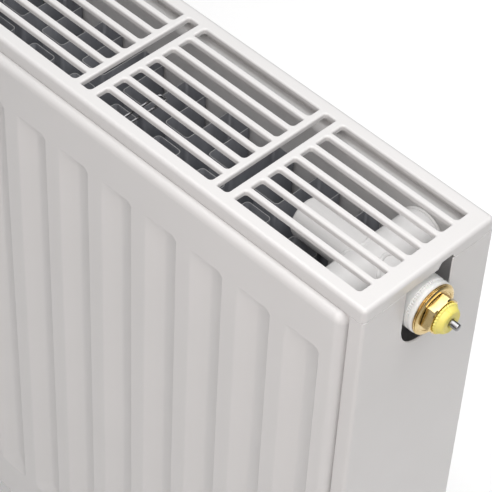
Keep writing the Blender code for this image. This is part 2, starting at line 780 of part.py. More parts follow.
def make_spindle():
    """The pin that a thermostatic head presses, its spring collar and the disc at its inner end."""
    tip = 21.4 * MM
    spring_seat = -5.5 * MM
    carrier = -38.5 * MM
    profile = [
        (0, tip),
        (1.3 * MM, tip - 0.3 * MM),
        (PIN_R, tip - 1.1 * MM),
        (PIN_R, spring_seat + 1.5 * MM),
        (4.8 * MM, spring_seat + 1.5 * MM),
        (4.8 * MM, spring_seat),
        (PIN_R, spring_seat),
        (PIN_R, carrier),
        (5 * MM, carrier),
        (5 * MM, carrier - 1.4 * MM),
        (0, carrier - 1.4 * MM),
    ]
    turned("valve_spindle", profile, (RIGHT, MIDDLE, VALVE_Z), TURN_RIGHT, STEEL_LOOK, 20)
    disc_place = (RIGHT + carrier - 1.4 * MM - GAP, MIDDLE, VALVE_Z)
    profile = [(0, 0), (7.5 * MM, 0), (7.5 * MM, -2.6 * MM), (0, -2.6 * MM)]
    turned("valve_disc", profile, disc_place, TURN_RIGHT, RUBBER, 24)
    floor = INSERT_FACE - 25 * MM
    turns = 5
    per_turn = 12
    wire = 0.45 * MM
    coil = 3.9 * MM
    start = floor + wire + GAP
    rise = spring_seat - wire - GAP - start
    curve = bpy.data.curves.new("valve_spring", "CURVE")
    curve.dimensions = "3D"
    spline = curve.splines.new("POLY")
    count = turns * per_turn
    spline.points.add(count)
    for index, point in enumerate(spline.points):
        angle = math.tau * index / per_turn
        along = start + rise * index / count
        y = MIDDLE + coil * math.cos(angle)
        point.co = (RIGHT + along, y, VALVE_Z + coil * math.sin(angle), 1)
    curve.bevel_depth = wire
    curve.bevel_resolution = 1
    curve.use_fill_caps = True
    add_object("valve_spring", curve, STEEL_LOOK)


def make_preset_ring():
    """The coned presetting ring, which turns on the pin's axis."""
    inner = PIN_R + GAP
    profile = [(inner, 4.6 * MM), (6.1 * MM, 4.6 * MM), (6.8 * MM, 4.1 * MM), (7.9 * MM, 1.7 * MM)]
    profile += [(8.9 * MM, 1.4 * MM), (8.9 * MM, 0), (inner, 0)]
    place = (RIGHT + RING_SEAT, MIDDLE, VALVE_Z)
    ring_object = turned("preset_ring", profile, place, TURN_RIGHT, (YELLOW, 0.0, 0.45), 28)
    mark = box("preset_mark", (-9.6 * MM, -0.5 * MM, -MM), (-8.2 * MM, 0.5 * MM, 3 * MM))
    mark.parent = ring_object
    boolean(ring_object, mark)


# ---------------------------------------------------------------- hanging lugs


def make_lug(name, x, z):
    """A strap with two feet on the rear panel and a bridge that the wall bracket hooks behind."""
    half = 16 * MM
    strap = 2 * MM
    reach = 26 * MM
    foot = 9 * MM
    panel = REAR + PANEL_STEP + GAP
    lug = box(name, (x - half, panel, z - reach), (x + half, 0, z + reach), PAINT)
    behind = (x - 2 * half, panel - 5 * MM, z - reach + foot)
    boolean(lug, box(name + "_hook", behind, (x + 2 * half, -strap, z + reach - foot)))
    for end, low, high in (
        ("upper", z + reach - foot + strap, z + 2 * reach),
        ("lower", z - 2 * reach, z - reach + foot - strap),
    ):
        over_low = (x - 2 * half, panel + strap, low)
        boolean(lug, box(f"{name}_{end}", over_low, (x + 2 * half, 5 * MM, high)))


make_panel("front", FRONT + SEAM_FRONT, -1)
make_panel("rear", REAR - SEAM_FRONT, 1)
make_fins("front", FRONT + INNER_CREST + GAP + FIN_SHEET / 2, 1, 0)
make_fins("rear", REAR - INNER_CREST - GAP - FIN_SHEET / 2, -1, -5.2 * MM)
make_grille()
make_clip("grille_clip_right", RIGHT - CLIP_IN)
make_clip("grille_clip_left", -RIGHT + CLIP_IN)
make_cover("side_cover_right", 1)
make_cover("side_cover_left", -1)
make_waterways()
make_plug("blanking_plug_right", 1, FOOT_Z, 0)
make_plug("blanking_plug_left", -1, FOOT_Z, 0)
make_vent()
make_collar()
make_insert()
make_spindle()
make_preset_ring()
LUG_X = RIGHT - 100.2 * MM
for level, lug_z in (("upper", 0), ("lower", BOTTOM + LUG_DROP)):
    make_lug(f"lug_{level}_right", LUG_X, lug_z)
    make_lug(f"lug_{level}_left", -LUG_X, lug_z)
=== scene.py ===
"""Looks of the panel radiator with a built-in valve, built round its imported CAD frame."""

import json
import math

import bmesh
import bpy
from mathutils import Euler, Matrix, Vector
from mathutils.geometry import tessellate_polygon


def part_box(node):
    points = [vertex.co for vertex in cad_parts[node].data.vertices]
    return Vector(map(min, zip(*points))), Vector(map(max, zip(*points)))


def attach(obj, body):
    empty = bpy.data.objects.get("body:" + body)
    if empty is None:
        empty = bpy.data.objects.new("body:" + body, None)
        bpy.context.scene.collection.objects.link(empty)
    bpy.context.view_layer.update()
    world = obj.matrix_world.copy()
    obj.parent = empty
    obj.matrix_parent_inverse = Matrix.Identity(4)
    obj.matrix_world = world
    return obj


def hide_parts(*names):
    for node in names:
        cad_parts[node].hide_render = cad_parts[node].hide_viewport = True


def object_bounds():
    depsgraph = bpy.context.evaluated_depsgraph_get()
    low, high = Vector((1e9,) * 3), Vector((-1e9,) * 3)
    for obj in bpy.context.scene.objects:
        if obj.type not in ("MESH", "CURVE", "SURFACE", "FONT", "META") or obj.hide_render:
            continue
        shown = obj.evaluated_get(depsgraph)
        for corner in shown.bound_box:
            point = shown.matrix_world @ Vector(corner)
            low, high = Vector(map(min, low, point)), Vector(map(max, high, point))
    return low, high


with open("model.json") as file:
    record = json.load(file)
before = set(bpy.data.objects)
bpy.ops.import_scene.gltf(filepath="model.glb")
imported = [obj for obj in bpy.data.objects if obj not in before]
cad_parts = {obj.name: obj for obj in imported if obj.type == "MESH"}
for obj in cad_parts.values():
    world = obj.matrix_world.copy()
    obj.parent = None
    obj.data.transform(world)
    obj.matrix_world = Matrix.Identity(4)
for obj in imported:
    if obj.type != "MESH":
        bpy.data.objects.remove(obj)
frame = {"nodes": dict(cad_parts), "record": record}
CAD_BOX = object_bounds()
MM = 0.001
QUARTER = math.pi / 2
TURN = math.tau

# Places, read from the frame
GRILLE_LOW, GRILLE_HIGH = (Vector(corner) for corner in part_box("top_grille"))
LEFT, FRONT = GRILLE_LOW.x, GRILLE_LOW.y
RIGHT, REAR, TOP = GRILLE_HIGH
MIDDLE = (FRONT + REAR) / 2
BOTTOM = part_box("front_panel_outer_sheet")[0][2]
VALVE_AXIS = (Vector(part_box("valve_collar")[0]) + Vector(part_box("valve_collar")[1])) / 2


# ---------------- materials

# The part of the noise's range that most of its values lie in
NOISE_LOW = 0.3
NOISE_HIGH = 0.7
RINGS_ABOUT_X = (6, 0.4, 0.4)


class Nodes:
    """A material's node tree, with short calls to add and link its nodes."""

    def __init__(self, name):
        self.material = bpy.data.materials.new(name)
        self.material.use_nodes = True
        self.tree = self.material.node_tree
        self.shader = self.tree.nodes["Principled BSDF"]
        self.coordinates = self.add("ShaderNodeTexCoord").outputs["Object"]

    def add(self, kind):
        return self.tree.nodes.new(kind)

    def link(self, source, target):
        self.tree.links.new(source, target)

    def noise(self, scale, detail=3.0, roughness=0.5, stretch=None):
        """Noise over the object, from 0 to 1. stretch scales its three axes."""
        node = self.add("ShaderNodeTexNoise")
        node.inputs["Scale"].default_value = scale
        node.inputs["Detail"].default_value = detail
        node.inputs["Roughness"].default_value = roughness
        source = self.coordinates
        if stretch:
            mapping = self.add("ShaderNodeMapping")
            mapping.inputs["Scale"].default_value = stretch
            self.link(source, mapping.inputs["Vector"])
            source = mapping.outputs["Vector"]
        self.link(source, node.inputs["Vector"])
        return node.outputs["Fac"]

    def color(self, source, deep, pale):
        """Base colour from deep to pale over the middle of the noise."""
        node = self.add("ShaderNodeValToRGB")
        stops = ((NOISE_LOW, deep), (NOISE_HIGH, pale))
        for element, (position, color) in zip(node.color_ramp.elements, stops):
            element.position = position
            element.color = (*color, 1)
        self.link(source, node.inputs["Fac"])
        self.link(node.outputs["Color"], self.shader.inputs["Base Color"])

    def rough(self, source, low, high):
        """Roughness from low to high over the middle of the noise."""
        node = self.add("ShaderNodeMapRange")
        self.link(source, node.inputs["Value"])
        node.inputs["From Min"].default_value = NOISE_LOW
        node.inputs["From Max"].default_value = NOISE_HIGH
        node.inputs["To Min"].default_value = low
        node.inputs["To Max"].default_value = high
        self.link(node.outputs["Result"], self.shader.inputs["Roughness"])

    def bump(self, source, height, strength=1.0):
        node = self.add("ShaderNodeBump")
        node.inputs["Distance"].default_value = height
        node.inputs["Strength"].default_value = strength
        self.link(source, node.inputs["Height"])
        self.link(node.outputs["Normal"], self.shader.inputs["Normal"])

    def set(self, **values):
        """Sets the shader's own sockets, such as Metallic or Coat_Weight."""
        for key, value in values.items():
            self.shader.inputs[key.replace("_", " ")].default_value = value


def enamel(name, tone=0.72):
    """Baked white paint: nearly even, with a faint orange peel and a clear gloss."""
    nodes = Nodes(name)
    pale = (tone + 0.012, tone + 0.005, tone)
    deep = (tone - 0.012, tone - 0.016, tone - 0.022)
    nodes.color(nodes.noise(9.0, 2.0), deep, pale)
    nodes.rough(nodes.noise(40.0, 2.0), 0.36, 0.44)
    nodes.bump(nodes.noise(420.0, 2.0), 0.00002, 0.5)
    nodes.set(Coat_Weight=0.25, Coat_Roughness=0.16, Specular_IOR_Level=0.45)
    return nodes.material


def fin_paint(name):
    """Grey primed sheet, mottled over its faces."""
    nodes = Nodes(name)
    drawn_out = (1, 1, 0.25)
    nodes.color(nodes.noise(60.0, 4.0, 0.6, drawn_out), (0.115, 0.12, 0.134), (0.175, 0.18, 0.197))
    nodes.rough(nodes.noise(90.0), 0.4, 0.55)
    nodes.bump(nodes.noise(700.0), 0.00003, 0.4)
    nodes.set(Metallic=0.25)
    return nodes.material


def cut_edge_highlight(name, tone):
    """The edge of a cut sheet, painted paler than its faces as a painted highlight where the edge catches
    light.
    """
    nodes = Nodes(name)
    nodes.color(nodes.noise(300.0), (tone - 0.06,) * 3, (tone,) * 3)
    nodes.rough(nodes.noise(500.0), 0.35, 0.5)
    return nodes.material


def brass(name):
    """Turned brass: warm metal with fine machining rings about X and small dull spots."""
    nodes = Nodes(name)
    nodes.color(nodes.noise(160.0, 4.0), (0.63, 0.465, 0.21), (0.79, 0.635, 0.335))
    nodes.rough(nodes.noise(220.0, 3.0), 0.16, 0.3)
    nodes.bump(nodes.noise(900.0, 2.0, 0.5, RINGS_ABOUT_X), 0.000004, 0.4)
    nodes.set(Metallic=1.0)
    return nodes.material


def steel(name, tone=0.56):
    """Turned steel with fine rings and a little grime."""
    nodes = Nodes(name)
    dark = (tone * 0.7, tone * 0.7, tone * 0.72)
    pale = (tone * 1.1, tone * 1.1, tone * 1.13)
    nodes.color(nodes.noise(240.0, 4.0), dark, pale)
    nodes.rough(nodes.noise(300.0), 0.18, 0.34)
    nodes.bump(nodes.noise(1200.0, 2.0, 0.5, RINGS_ABOUT_X), 0.00001, 0.5)
    nodes.set(Metallic=1.0)
    return nodes.material


def plastic(name, pale, deep, scale=70.0):
    """Moulded plastic with a soft sheen and a fine grain."""
    nodes = Nodes(name)
    nodes.color(nodes.noise(scale, 3.0), deep, pale)
    nodes.rough(nodes.noise(scale * 2), 0.38, 0.5)
    nodes.bump(nodes.noise(1500.0), 0.00001, 0.4)
    nodes.set(Subsurface_Weight=0.05, Specular_IOR_Level=0.45)
    return nodes.material


def rubber(name):
    nodes = Nodes(name)
    nodes.color(nodes.noise(200.0), (0.012, 0.012, 0.013), (0.03, 0.03, 0.031))
    nodes.rough(nodes.noise(350.0), 0.55, 0.75)
    nodes.bump(nodes.noise(1800.0), 0.00002, 0.5)
    return nodes.material


PAINT = enamel("white enamel")
# A lighter copy of the same white enamel, painted light for the tees and pipes that sit in shade inside the
# radiator.
TEE_PAINT_LIGHTENED = enamel("white enamel, lightened for shaded tees and pipes", 0.78)
FIN = fin_paint("grey fins")
# The cut edges of the fins and covers are painted paler than their faces: a painted highlight.
FIN_EDGE_HIGHLIGHT = cut_edge_highlight("grey fins, cut edge with painted highlight", 0.36)
CUT_EDGE_HIGHLIGHT = cut_edge_highlight("white enamel, cut edge with painted highlight", 0.9)
BRASS = brass("turned brass")
STEEL = steel("bright steel")
PIN_STEEL = steel("darker steel", 0.38)
WIRE_STEEL = steel("spring steel", 0.3)
WHITE_PLASTIC = plastic("white plastic", (0.89, 0.885, 0.865), (0.845, 0.84, 0.82))
YELLOW_PLASTIC = plastic("yellow plastic", (0.9, 0.785, 0.205), (0.85, 0.72, 0.155))
RUBBER = rubber("seal rubber")


# ---------------- mesh helpers


def add_piece(name, mesh, material, body, slot, *nodes, smooth=35.0):
    """Links a bmesh as a piece that rides on a body and stands for CAD nodes.

    Edges sharper than the angle smooth, in degrees, stay sharp.
    """
    data = bpy.data.meshes.new(name)
    mesh.to_mesh(data)
    mesh.free()
    data.materials.append(material)
    piece = bpy.data.objects.new(name, data)
    bpy.context.scene.collection.objects.link(piece)
    data.shade_smooth()
    data.set_sharp_from_angle(angle=math.radians(smooth))
    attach(piece, body)
    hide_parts(*nodes)
    return piece


def thicken(piece, thickness, offset, rim=0):
    """Gives a sheet its thickness. rim shifts the material of the cut edge."""
    shell = piece.modifiers.new("sheet", "SOLIDIFY")
    shell.thickness = thickness
    shell.offset = offset
    shell.use_even_offset = True
    shell.material_offset_rim = rim


def even_shading(piece):
    """Keeps flat faces flat where a rounding runs into them."""
    weighted = piece.modifiers.new("even shading", "WEIGHTED_NORMAL")
    weighted.weight = 100
    weighted.keep_sharp = True


def loop_verts(mesh, points):
    return [mesh.verts.new(point) for point in points]


def corners_of(node):
    """The lowest and the highest corner of a node's box."""
    low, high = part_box(node)
    return Vector(low), Vector(high)


def break_edges(piece, name, width, angle):
    """A small bevel on the edges sharper than an angle in degrees."""
    bevel = piece.modifiers.new(name, "BEVEL")
    bevel.width = width
    bevel.segments = 2
    bevel.limit_method = "ANGLE"
    bevel.angle_limit = math.radians(angle)


def face_towards(mesh, axis, side):
    """Turns all faces round if on the whole they look away from a side of an axis."""
    if sum(face.normal[axis] * face.calc_area() for face in mesh.faces) * side < 0:
        bmesh.ops.reverse_faces(mesh, faces=mesh.faces)


def bridge(mesh, first, second, closed=True):
    """Quads between two rows of vertices of the same length."""
    count = len(first)
    for index in range(count if closed else count - 1):
        after = (index + 1) % count
        corners = (first[index], first[after], second[after], second[index])
        mesh.faces.new(corners)


def skin(mesh, rows, closed=True):
    """Quads between rows of points of the same length. Returns the rows of vertices."""
    loops = [loop_verts(mesh, row) for row in rows]
    for first, second in zip(loops, loops[1:]):
        bridge(mesh, first, second, closed)
    return loops


def fill_flat(mesh, outer, holes):
    """Triangles between one outer loop of vertices and the loops inside it, in one plane."""
    loops = [outer, *holes]
    flat = [vertex for loop in loops for vertex in loop]
    for triangle in tessellate_polygon([[vertex.co for vertex in loop] for loop in loops]):
        mesh.faces.new([flat[index] for index in triangle])


def clean(mesh, distance=0.01 * MM):
    bmesh.ops.remove_doubles(mesh, verts=mesh.verts, dist=distance)
    bmesh.ops.dissolve_degenerate(mesh, edges=mesh.edges, dist=distance)
    bmesh.ops.recalc_face_normals(mesh, faces=mesh.faces)


def smoothstep(value):
    value = min(max(value, 0.0), 1.0)
    return value * value * (3 - 2 * value)


def eased(share, ends):
    """A straight ramp from 0 to 1 whose two ends are rounded over the share given."""
    share = min(max(share, 0.0), 1.0)
    if share < ends:
        return share * share / (2 * ends * (1 - ends))
    if share > 1 - ends:
        return 1 - (1 - share) ** 2 / (2 * ends * (1 - ends))
    return (share - ends / 2) / (1 - ends)


def lerp(first, second, share):
    return first + (second - first) * share


def end_share(reach):
    """From 0 at the front or rear to 1 at the end face, as reach goes from 0 to 1 round a corner."""
    return smoothstep(reach * 1.4 - 0.3)


def quarter(steps):
    """(sine, cosine) at even steps through a right angle."""
    angles = [QUARTER * step / steps for step in range(steps + 1)]
    return [(math.sin(angle), math.cos(angle)) for angle in angles]


# ---------------- grille

SLOT_PITCH = 11.43 * MM
SLOT_WIDTH = 8.43 * MM
SLOT_LENGTH = 84 * MM
FIRST_SLOT = 7.75 * MM
SLOT_FRONT_ROUND = 2.4 * MM
SLOT_ROUND = 1.7 * MM
SLOTS = 7
SECTIONS = 5
SECTION_PITCH = 100 * MM
BORDER = 10.8 * MM
BAR = 3.9 * MM
CROSS_SLOT = 7.6 * MM
SHEET = 1.0 * MM
LIP = 3.0 * MM
ROLLED = 1.15 * MM
CRISP = 0.16 * MM
OUTER_ROUND = 2.5 * MM
BURR = 0.15 * MM
PLAN_ROUND = 3.0 * MM
FLANGE = GRILLE_HIGH.z - GRILLE_LOW.z
END_FLANGE = 8.0 * MM
NOTCH_LOW, NOTCH_HIGH = FRONT + 53.0 * MM, FRONT + 63.0 * MM
NOTCH_RISE = 3.4 * MM
NOTCH_EDGE = 2 * MM


def rounded_outline(low, high, radii, steps=7, stations=()):
    """A rounded rectangle as (point, outward normal), from the front right corner, anticlockwise.

    radii are for the front right, rear right, rear left and front left corners. stations are
    extra y values along the right side.
    """
    corners = [(high[0], low[1]), (high[0], high[1]), (low[0], high[1]), (low[0], low[1])]
    inward = [(-1, 1), (-1, -1), (1, -1), (1, 1)]
    outline = []
    for index, ((x, y), (side_x, side_y), radius) in enumerate(zip(corners, inward, radii)):
        centre = Vector((x + side_x * radius, y + side_y * radius))
        for step in range(steps + 1):
            angle = -QUARTER + QUARTER * (index + step / steps)
            normal = Vector((math.cos(angle), math.sin(angle)))
            outline.append((centre + normal * radius, normal))
        if index == 0:
            outline += [(Vector((x, station)), Vector((1, 0))) for station in stations]
    return outline


def grille_slots():
    """(lowest corner, highest corner) of each slot, lengthwise ones first."""
    slots = []
    cross = []
    first = FRONT + FIRST_SLOT
    last = first + (SLOTS - 1) * SLOT_PITCH + SLOT_WIDTH
    for section in range(SECTIONS):
        right = RIGHT - BORDER - section * SECTION_PITCH
        left = LEFT + BORDER if section == SECTIONS - 1 else right - SLOT_LENGTH
        for slot in range(SLOTS):
            front = first + slot * SLOT_PITCH
            slots.append(((left, front), (right, front + SLOT_WIDTH)))
        if section:
            cross.append(((right + BAR, first), (right + BAR + CROSS_SLOT, last)))
    return slots + cross


def offset_row(outline, shifts, drops):
    """(x, y, z) round an outline, each point shifted along its normal and dropped below the top."""
    row = []
    for (point, normal), shift, drop in zip(outline, shifts, drops):
        place = point + normal * shift
        row.append((place.x, place.y, TOP - drop))
    return row


def cut_slot(mesh, low, high):
    """The walls of one slot: rolled down at its rear and left, crisp at its front and right.

    Returns its loops in the upper and lower face of the sheet.
    """
    outline = rounded_outline(low, high, [SLOT_FRONT_ROUND, SLOT_ROUND, SLOT_ROUND, SLOT_ROUND])
    rolled = [smoothstep(max(normal.y, -normal.x) * 1.6 - 0.15) for _, normal in outline]
    radii = [lerp(CRISP, ROLLED, share) for share in rolled]
    rows = []
    for sine, cosine in quarter(4):
        shifts = [radius * (1 - sine) for radius in radii]
        drops = [radius * (1 - cosine) for radius in radii]
        rows.append(offset_row(outline, shifts, drops))
    lips = [lerp(SHEET, LIP, share) for share in rolled]
    thin = [SHEET] * len(outline)
    rows += [offset_row(outline, [0] * len(outline), lips), offset_row(outline, thin, lips)]
    rows.append(offset_row(outline, thin, thin))
    loops = skin(mesh, rows)
    return loops[0], loops[-1]


def flange_depth(point, normal):
    """How far the outer flange reaches down at a point of the outline."""
    depth = lerp(FLANGE, END_FLANGE, end_share(abs(normal.x)))
    if normal.x > 0.99:
        into = min(point.y - NOTCH_LOW, NOTCH_HIGH - point.y)
        depth -= NOTCH_RISE * min(max(into / NOTCH_EDGE + 0.5, 0), 1)
    return depth


def edge_rows(outline):
    """The grille's edge: the rounding outside, the flange with its broken edges, and the inside."""
    count = len(outline)
    rows = []
    for sine, cosine in quarter(6):
        inset, drop = OUTER_ROUND * (1 - sine), OUTER_ROUND * (1 - cosine)
        rows.append(offset_row(outline, [-inset] * count, [drop] * count))
    depths = [flange_depth(point, normal) for point, normal in outline]
    for inset, rise in ((0, BURR), (BURR, 0), (SHEET - BURR, 0), (SHEET, BURR)):
        rows.append(offset_row(outline, [-inset] * count, [depth - rise for depth in depths]))
    inner = OUTER_ROUND - SHEET
    for sine, cosine in quarter(3):
        inset, drop = SHEET + inner * (1 - cosine), SHEET + inner * (1 - sine)
        rows.append(offset_row(outline, [-inset] * count, [drop] * count))
    return rows


def make_grille():
    mesh = bmesh.new()
    stations = [FRONT + 20 * MM]
    stations += [NOTCH_LOW + offset * MM for offset in (-1.2, -1.0, 0.4, 1.0)]
    stations += [NOTCH_HIGH + offset * MM for offset in (-1.0, -0.4, 1.0, 1.2)]
    outline = rounded_outline((LEFT, FRONT), (RIGHT, REAR), [PLAN_ROUND] * 4, 8, stations)
    loops = skin(mesh, edge_rows(outline))
    holes = [cut_slot(mesh, low, high) for low, high in grille_slots()]
    fill_flat(mesh, loops[0], [upper for upper, _ in holes])
    fill_flat(mesh, loops[-1], [lower for _, lower in holes])
    clean(mesh)
    even_shading(add_piece("grille", mesh, PAINT, "grille", "white_enamel", "top_grille", smooth=40))


# ---------------- pressed panels

SEAM_FRONT = 1.3 * MM
PANEL_SHEET = 1.2 * MM
PANEL_STEP = 5.0 * MM
PANEL_SIDE = 9.9 * MM
PANEL_HEAD = 9.6 * MM
PANEL_FOOT = 3.2 * MM
SEAM_WIDTH = 6.3 * MM
RIM_ROUND = 4.6 * MM
RIM_CORNER = 5.5 * MM
RIM_FLAT = 6.0 * MM
GROOVES = 14
GROOVE_PITCH = 33.27 * MM
GROOVE_DEPTH = 4.9 * MM
FIRST_SHOULDER = 21.3 * MM
GROOVE_WIDTH = 24.0 * MM
SHARP_WALL = 9.5 * MM
SHARP_LIP = 1.4 * MM
SOFT_WALL = 12.5 * MM
# The sharp wall is the sum of a lip, a curve and a slope, in these shares of the depth
LIP_SHARE = 0.12
CURVE_SHARE = 0.55
SLOPE_SHARE = 0.33
CURVE_POWER = 1.6
SOFT_WALL_EASE = 0.16
GROOVE_HEAD = 39.3 * MM
GROOVE_CORNER = 5.0 * MM
INNER_CREST = 10.0 * MM
INNER_CENTRE = 14.35 * MM
INNER_LAND = 7.8 * MM
INNER_WALL = 5.75 * MM
INNER_HEAD = 45.6 * MM
LAND_FACE = 1.9 * MM
SEAM_GAP = 0.3 * MM
# Places of the grid's lines across one groove and along its end, in mm from its sharp shoulders
COLUMN_OFFSETS = (-1.5, -0.4, 0, 0.5, 1.0, 1.5, 2.1, 2.8, 3.7, 4.8, 6.2, 8, 10, 11.4, 12.2, 13, 14)
COLUMN_OFFSETS += (16, 18, 20, 21.4, 22.3, 23.1, 24, 26, 28.7)
ROW_OFFSETS = (0, 0.5, 1, 1.5, 2.1, 2.8, 3.7, 4.8, 6.2, 8, 10, 12, 14.5)


def outer_groove(x, z):
    """Share of the groove's depth at a place on an outer sheet.

    The shoulder on the right and those at both ends are sharp, and the left wall is soft.
    """
    across = RIGHT - FIRST_SHOULDER - x
    across -= GROOVE_PITCH * min(max(math.floor(across / GROOVE_PITCH), 0), GROOVES - 1)
    from_end = min(TOP - GROOVE_HEAD - z, z - BOTTOM - GROOVE_HEAD + PANEL_FOOT)
    if across <= 0 or across >= GROOVE_WIDTH or from_end <= 0:
        return 0.0
    inside = min(across, from_end)
    if max(across, from_end) < GROOVE_CORNER:
        inside = GROOVE_CORNER - math.hypot(GROOVE_CORNER - across, GROOVE_CORNER - from_end)
    share = min(max(inside / SHARP_WALL, 0.0), 1.0)
    slope = min(max(inside / (GROOVE_WIDTH - SOFT_WALL), 0.0), 1.0)
    lip = min(max(inside / SHARP_LIP, 0.0), 1.0)
    curve = 1 - (1 - share) ** CURVE_POWER
    sharp = LIP_SHARE * lip + CURVE_SHARE * curve + SLOPE_SHARE * slope
    return sharp * eased((GROOVE_WIDTH - across) / SOFT_WALL, SOFT_WALL_EASE)


def inner_groove(x, z):
    """Share of the depth of the inner sheet's lands, which lie behind the outer grooves."""
    across = RIGHT - FIRST_SHOULDER - INNER_CENTRE - x
    across -= GROOVE_PITCH * min(max(round(across / GROOVE_PITCH), 0), GROOVES - 1)
    from_end = min(TOP - INNER_HEAD - z, z - BOTTOM - INNER_HEAD + PANEL_FOOT)
    side = smoothstep((INNER_LAND / 2 + INNER_WALL - abs(across)) / INNER_WALL)
    return side * smoothstep(from_end / (2 * INNER_WALL))


def grid_columns():
    """x values of the pressed grid, closer together at the sharp shoulders."""
    limit = RIGHT - PANEL_SIDE - RIM_FLAT
    columns = [limit, -limit]
    for groove in range(GROOVES):
        for offset in COLUMN_OFFSETS:
            x = RIGHT - FIRST_SHOULDER - groove * GROOVE_PITCH - offset * MM
            if abs(x) < limit:
                columns.append(x)
    return sorted(columns, reverse=True)


def grid_rows(head):
    """z values of the pressed grid, closer together at both ends of the grooves."""
    rows = [TOP - PANEL_HEAD - RIM_FLAT, BOTTOM + PANEL_FOOT + RIM_FLAT]
    rows += [TOP - head - offset * MM for offset in ROW_OFFSETS]
    rows += [BOTTOM + head - PANEL_FOOT + offset * MM for offset in ROW_OFFSETS]
    first = TOP - head - ROW_OFFSETS[-1] * MM
    last = BOTTOM + head - PANEL_FOOT + ROW_OFFSETS[-1] * MM
    rows += [lerp(first, last, share / 8) for share in range(1, 8)]
    return sorted(rows, reverse=True)


def pressed_field(mesh, seam, outward, rise, groove, depth, heads):
    """The grid of a pressed sheet, and the loop of vertices round its border."""
    columns = grid_columns()
    rows = []
    for z in heads:
        rows.append([(x, seam + outward * (rise - depth * groove(x, z)), z) for x in columns])
    grid = skin(mesh, rows, closed=False)
    border = [*grid[0], *(row[-1] for row in grid[1:-1]), *reversed(grid[-1])]
    return [*border, *(row[0] for row in reversed(grid[1:-1]))]


def rim_rows(seam, outward, rise):
    """The rim of a pressed sheet: its rounded shoulder, a small fillet and the flat seam."""
    sections = []
    for sine, cosine in quarter(6):
        sections.append((-RIM_ROUND * (1 - sine), rise - RIM_ROUND * (1 - cosine)))
    sections += [(0.0, 0.7 * MM), (0.2 * MM, 0.2 * MM), (0.7 * MM, 0.0), (SEAM_WIDTH, 0.0)]
    low, high = (LEFT + PANEL_SIDE, BOTTOM + PANEL_FOOT), (RIGHT - PANEL_SIDE, TOP - PANEL_HEAD)
    outline = rounded_outline(low, high, [RIM_CORNER] * 4)
    rows = []
    for out, up in sections:
        row = []
        for point, normal in outline:
            reach = min(out, lerp(SEAM_WIDTH, PANEL_FOOT, max(-normal.y, 0)))
            row.append((point.x + normal.x * reach, seam + outward * up, point.y + normal.y * reach))
        rows.append(row)
    return rows


def pressed_sheet(name, node, seam, outward, rise, groove, depth, heads):
    """A sheet raised by rise from its seam face at y = seam, with grooves pressed back into it."""
    mesh = bmesh.new()
    border = pressed_field(mesh, seam, outward, rise, groove, depth, heads)
    rim = skin(mesh, rim_rows(seam, outward, rise))
    fill_flat(mesh, rim[0], [border])
    # The fill leaves triangles with no area, whose normals would throw the sheet's thickness far out
    bmesh.ops.dissolve_degenerate(mesh, dist=0.002 * MM, edges=mesh.edges)
    clean(mesh, 0.002 * MM)
    face_towards(mesh, 1, outward)
    sheet = add_piece(name, mesh, PAINT, "radiator", "white_enamel", node)
    thicken(sheet, PANEL_SHEET, -1)
    even_shading(sheet)


def make_panels():
    outer_heads, inner_heads = grid_rows(GROOVE_HEAD), grid_rows(INNER_HEAD)
    inner_seam = SEAM_FRONT + 2 * PANEL_SHEET + SEAM_GAP
    for side, face, inward in (("front", FRONT, 1), ("rear", REAR, -1)):
        pressed_sheet(
            f"{side}_panel_outer_look",
            f"{side}_panel_outer_sheet",
            face + inward * SEAM_FRONT,
            -inward,
            PANEL_STEP + SEAM_FRONT,
            outer_groove,
            GROOVE_DEPTH,
            outer_heads,
        )
        pressed_sheet(
            f"{side}_panel_inner_look",
            f"{side}_panel_inner_sheet",
            face + inward * inner_seam,
            inward,
            INNER_CREST - inner_seam,
            inner_groove,
            INNER_CREST - LAND_FACE,
            inner_heads,
        )


# ---------------- fins

FIN_SHEET = 0.5 * MM
FIN_CREST = 17.4 * MM
FIN_ROUND = 2.2 * MM


def arc_points(centre, radius, start, turn, steps=6):
    """Points (x, y) along an arc, from the angle start through turn."""
    angles = [start + turn * step / steps for step in range(steps + 1)]
    return [(centre[0] + radius * math.cos(a), centre[1] + radius * math.sin(a)) for a in angles]


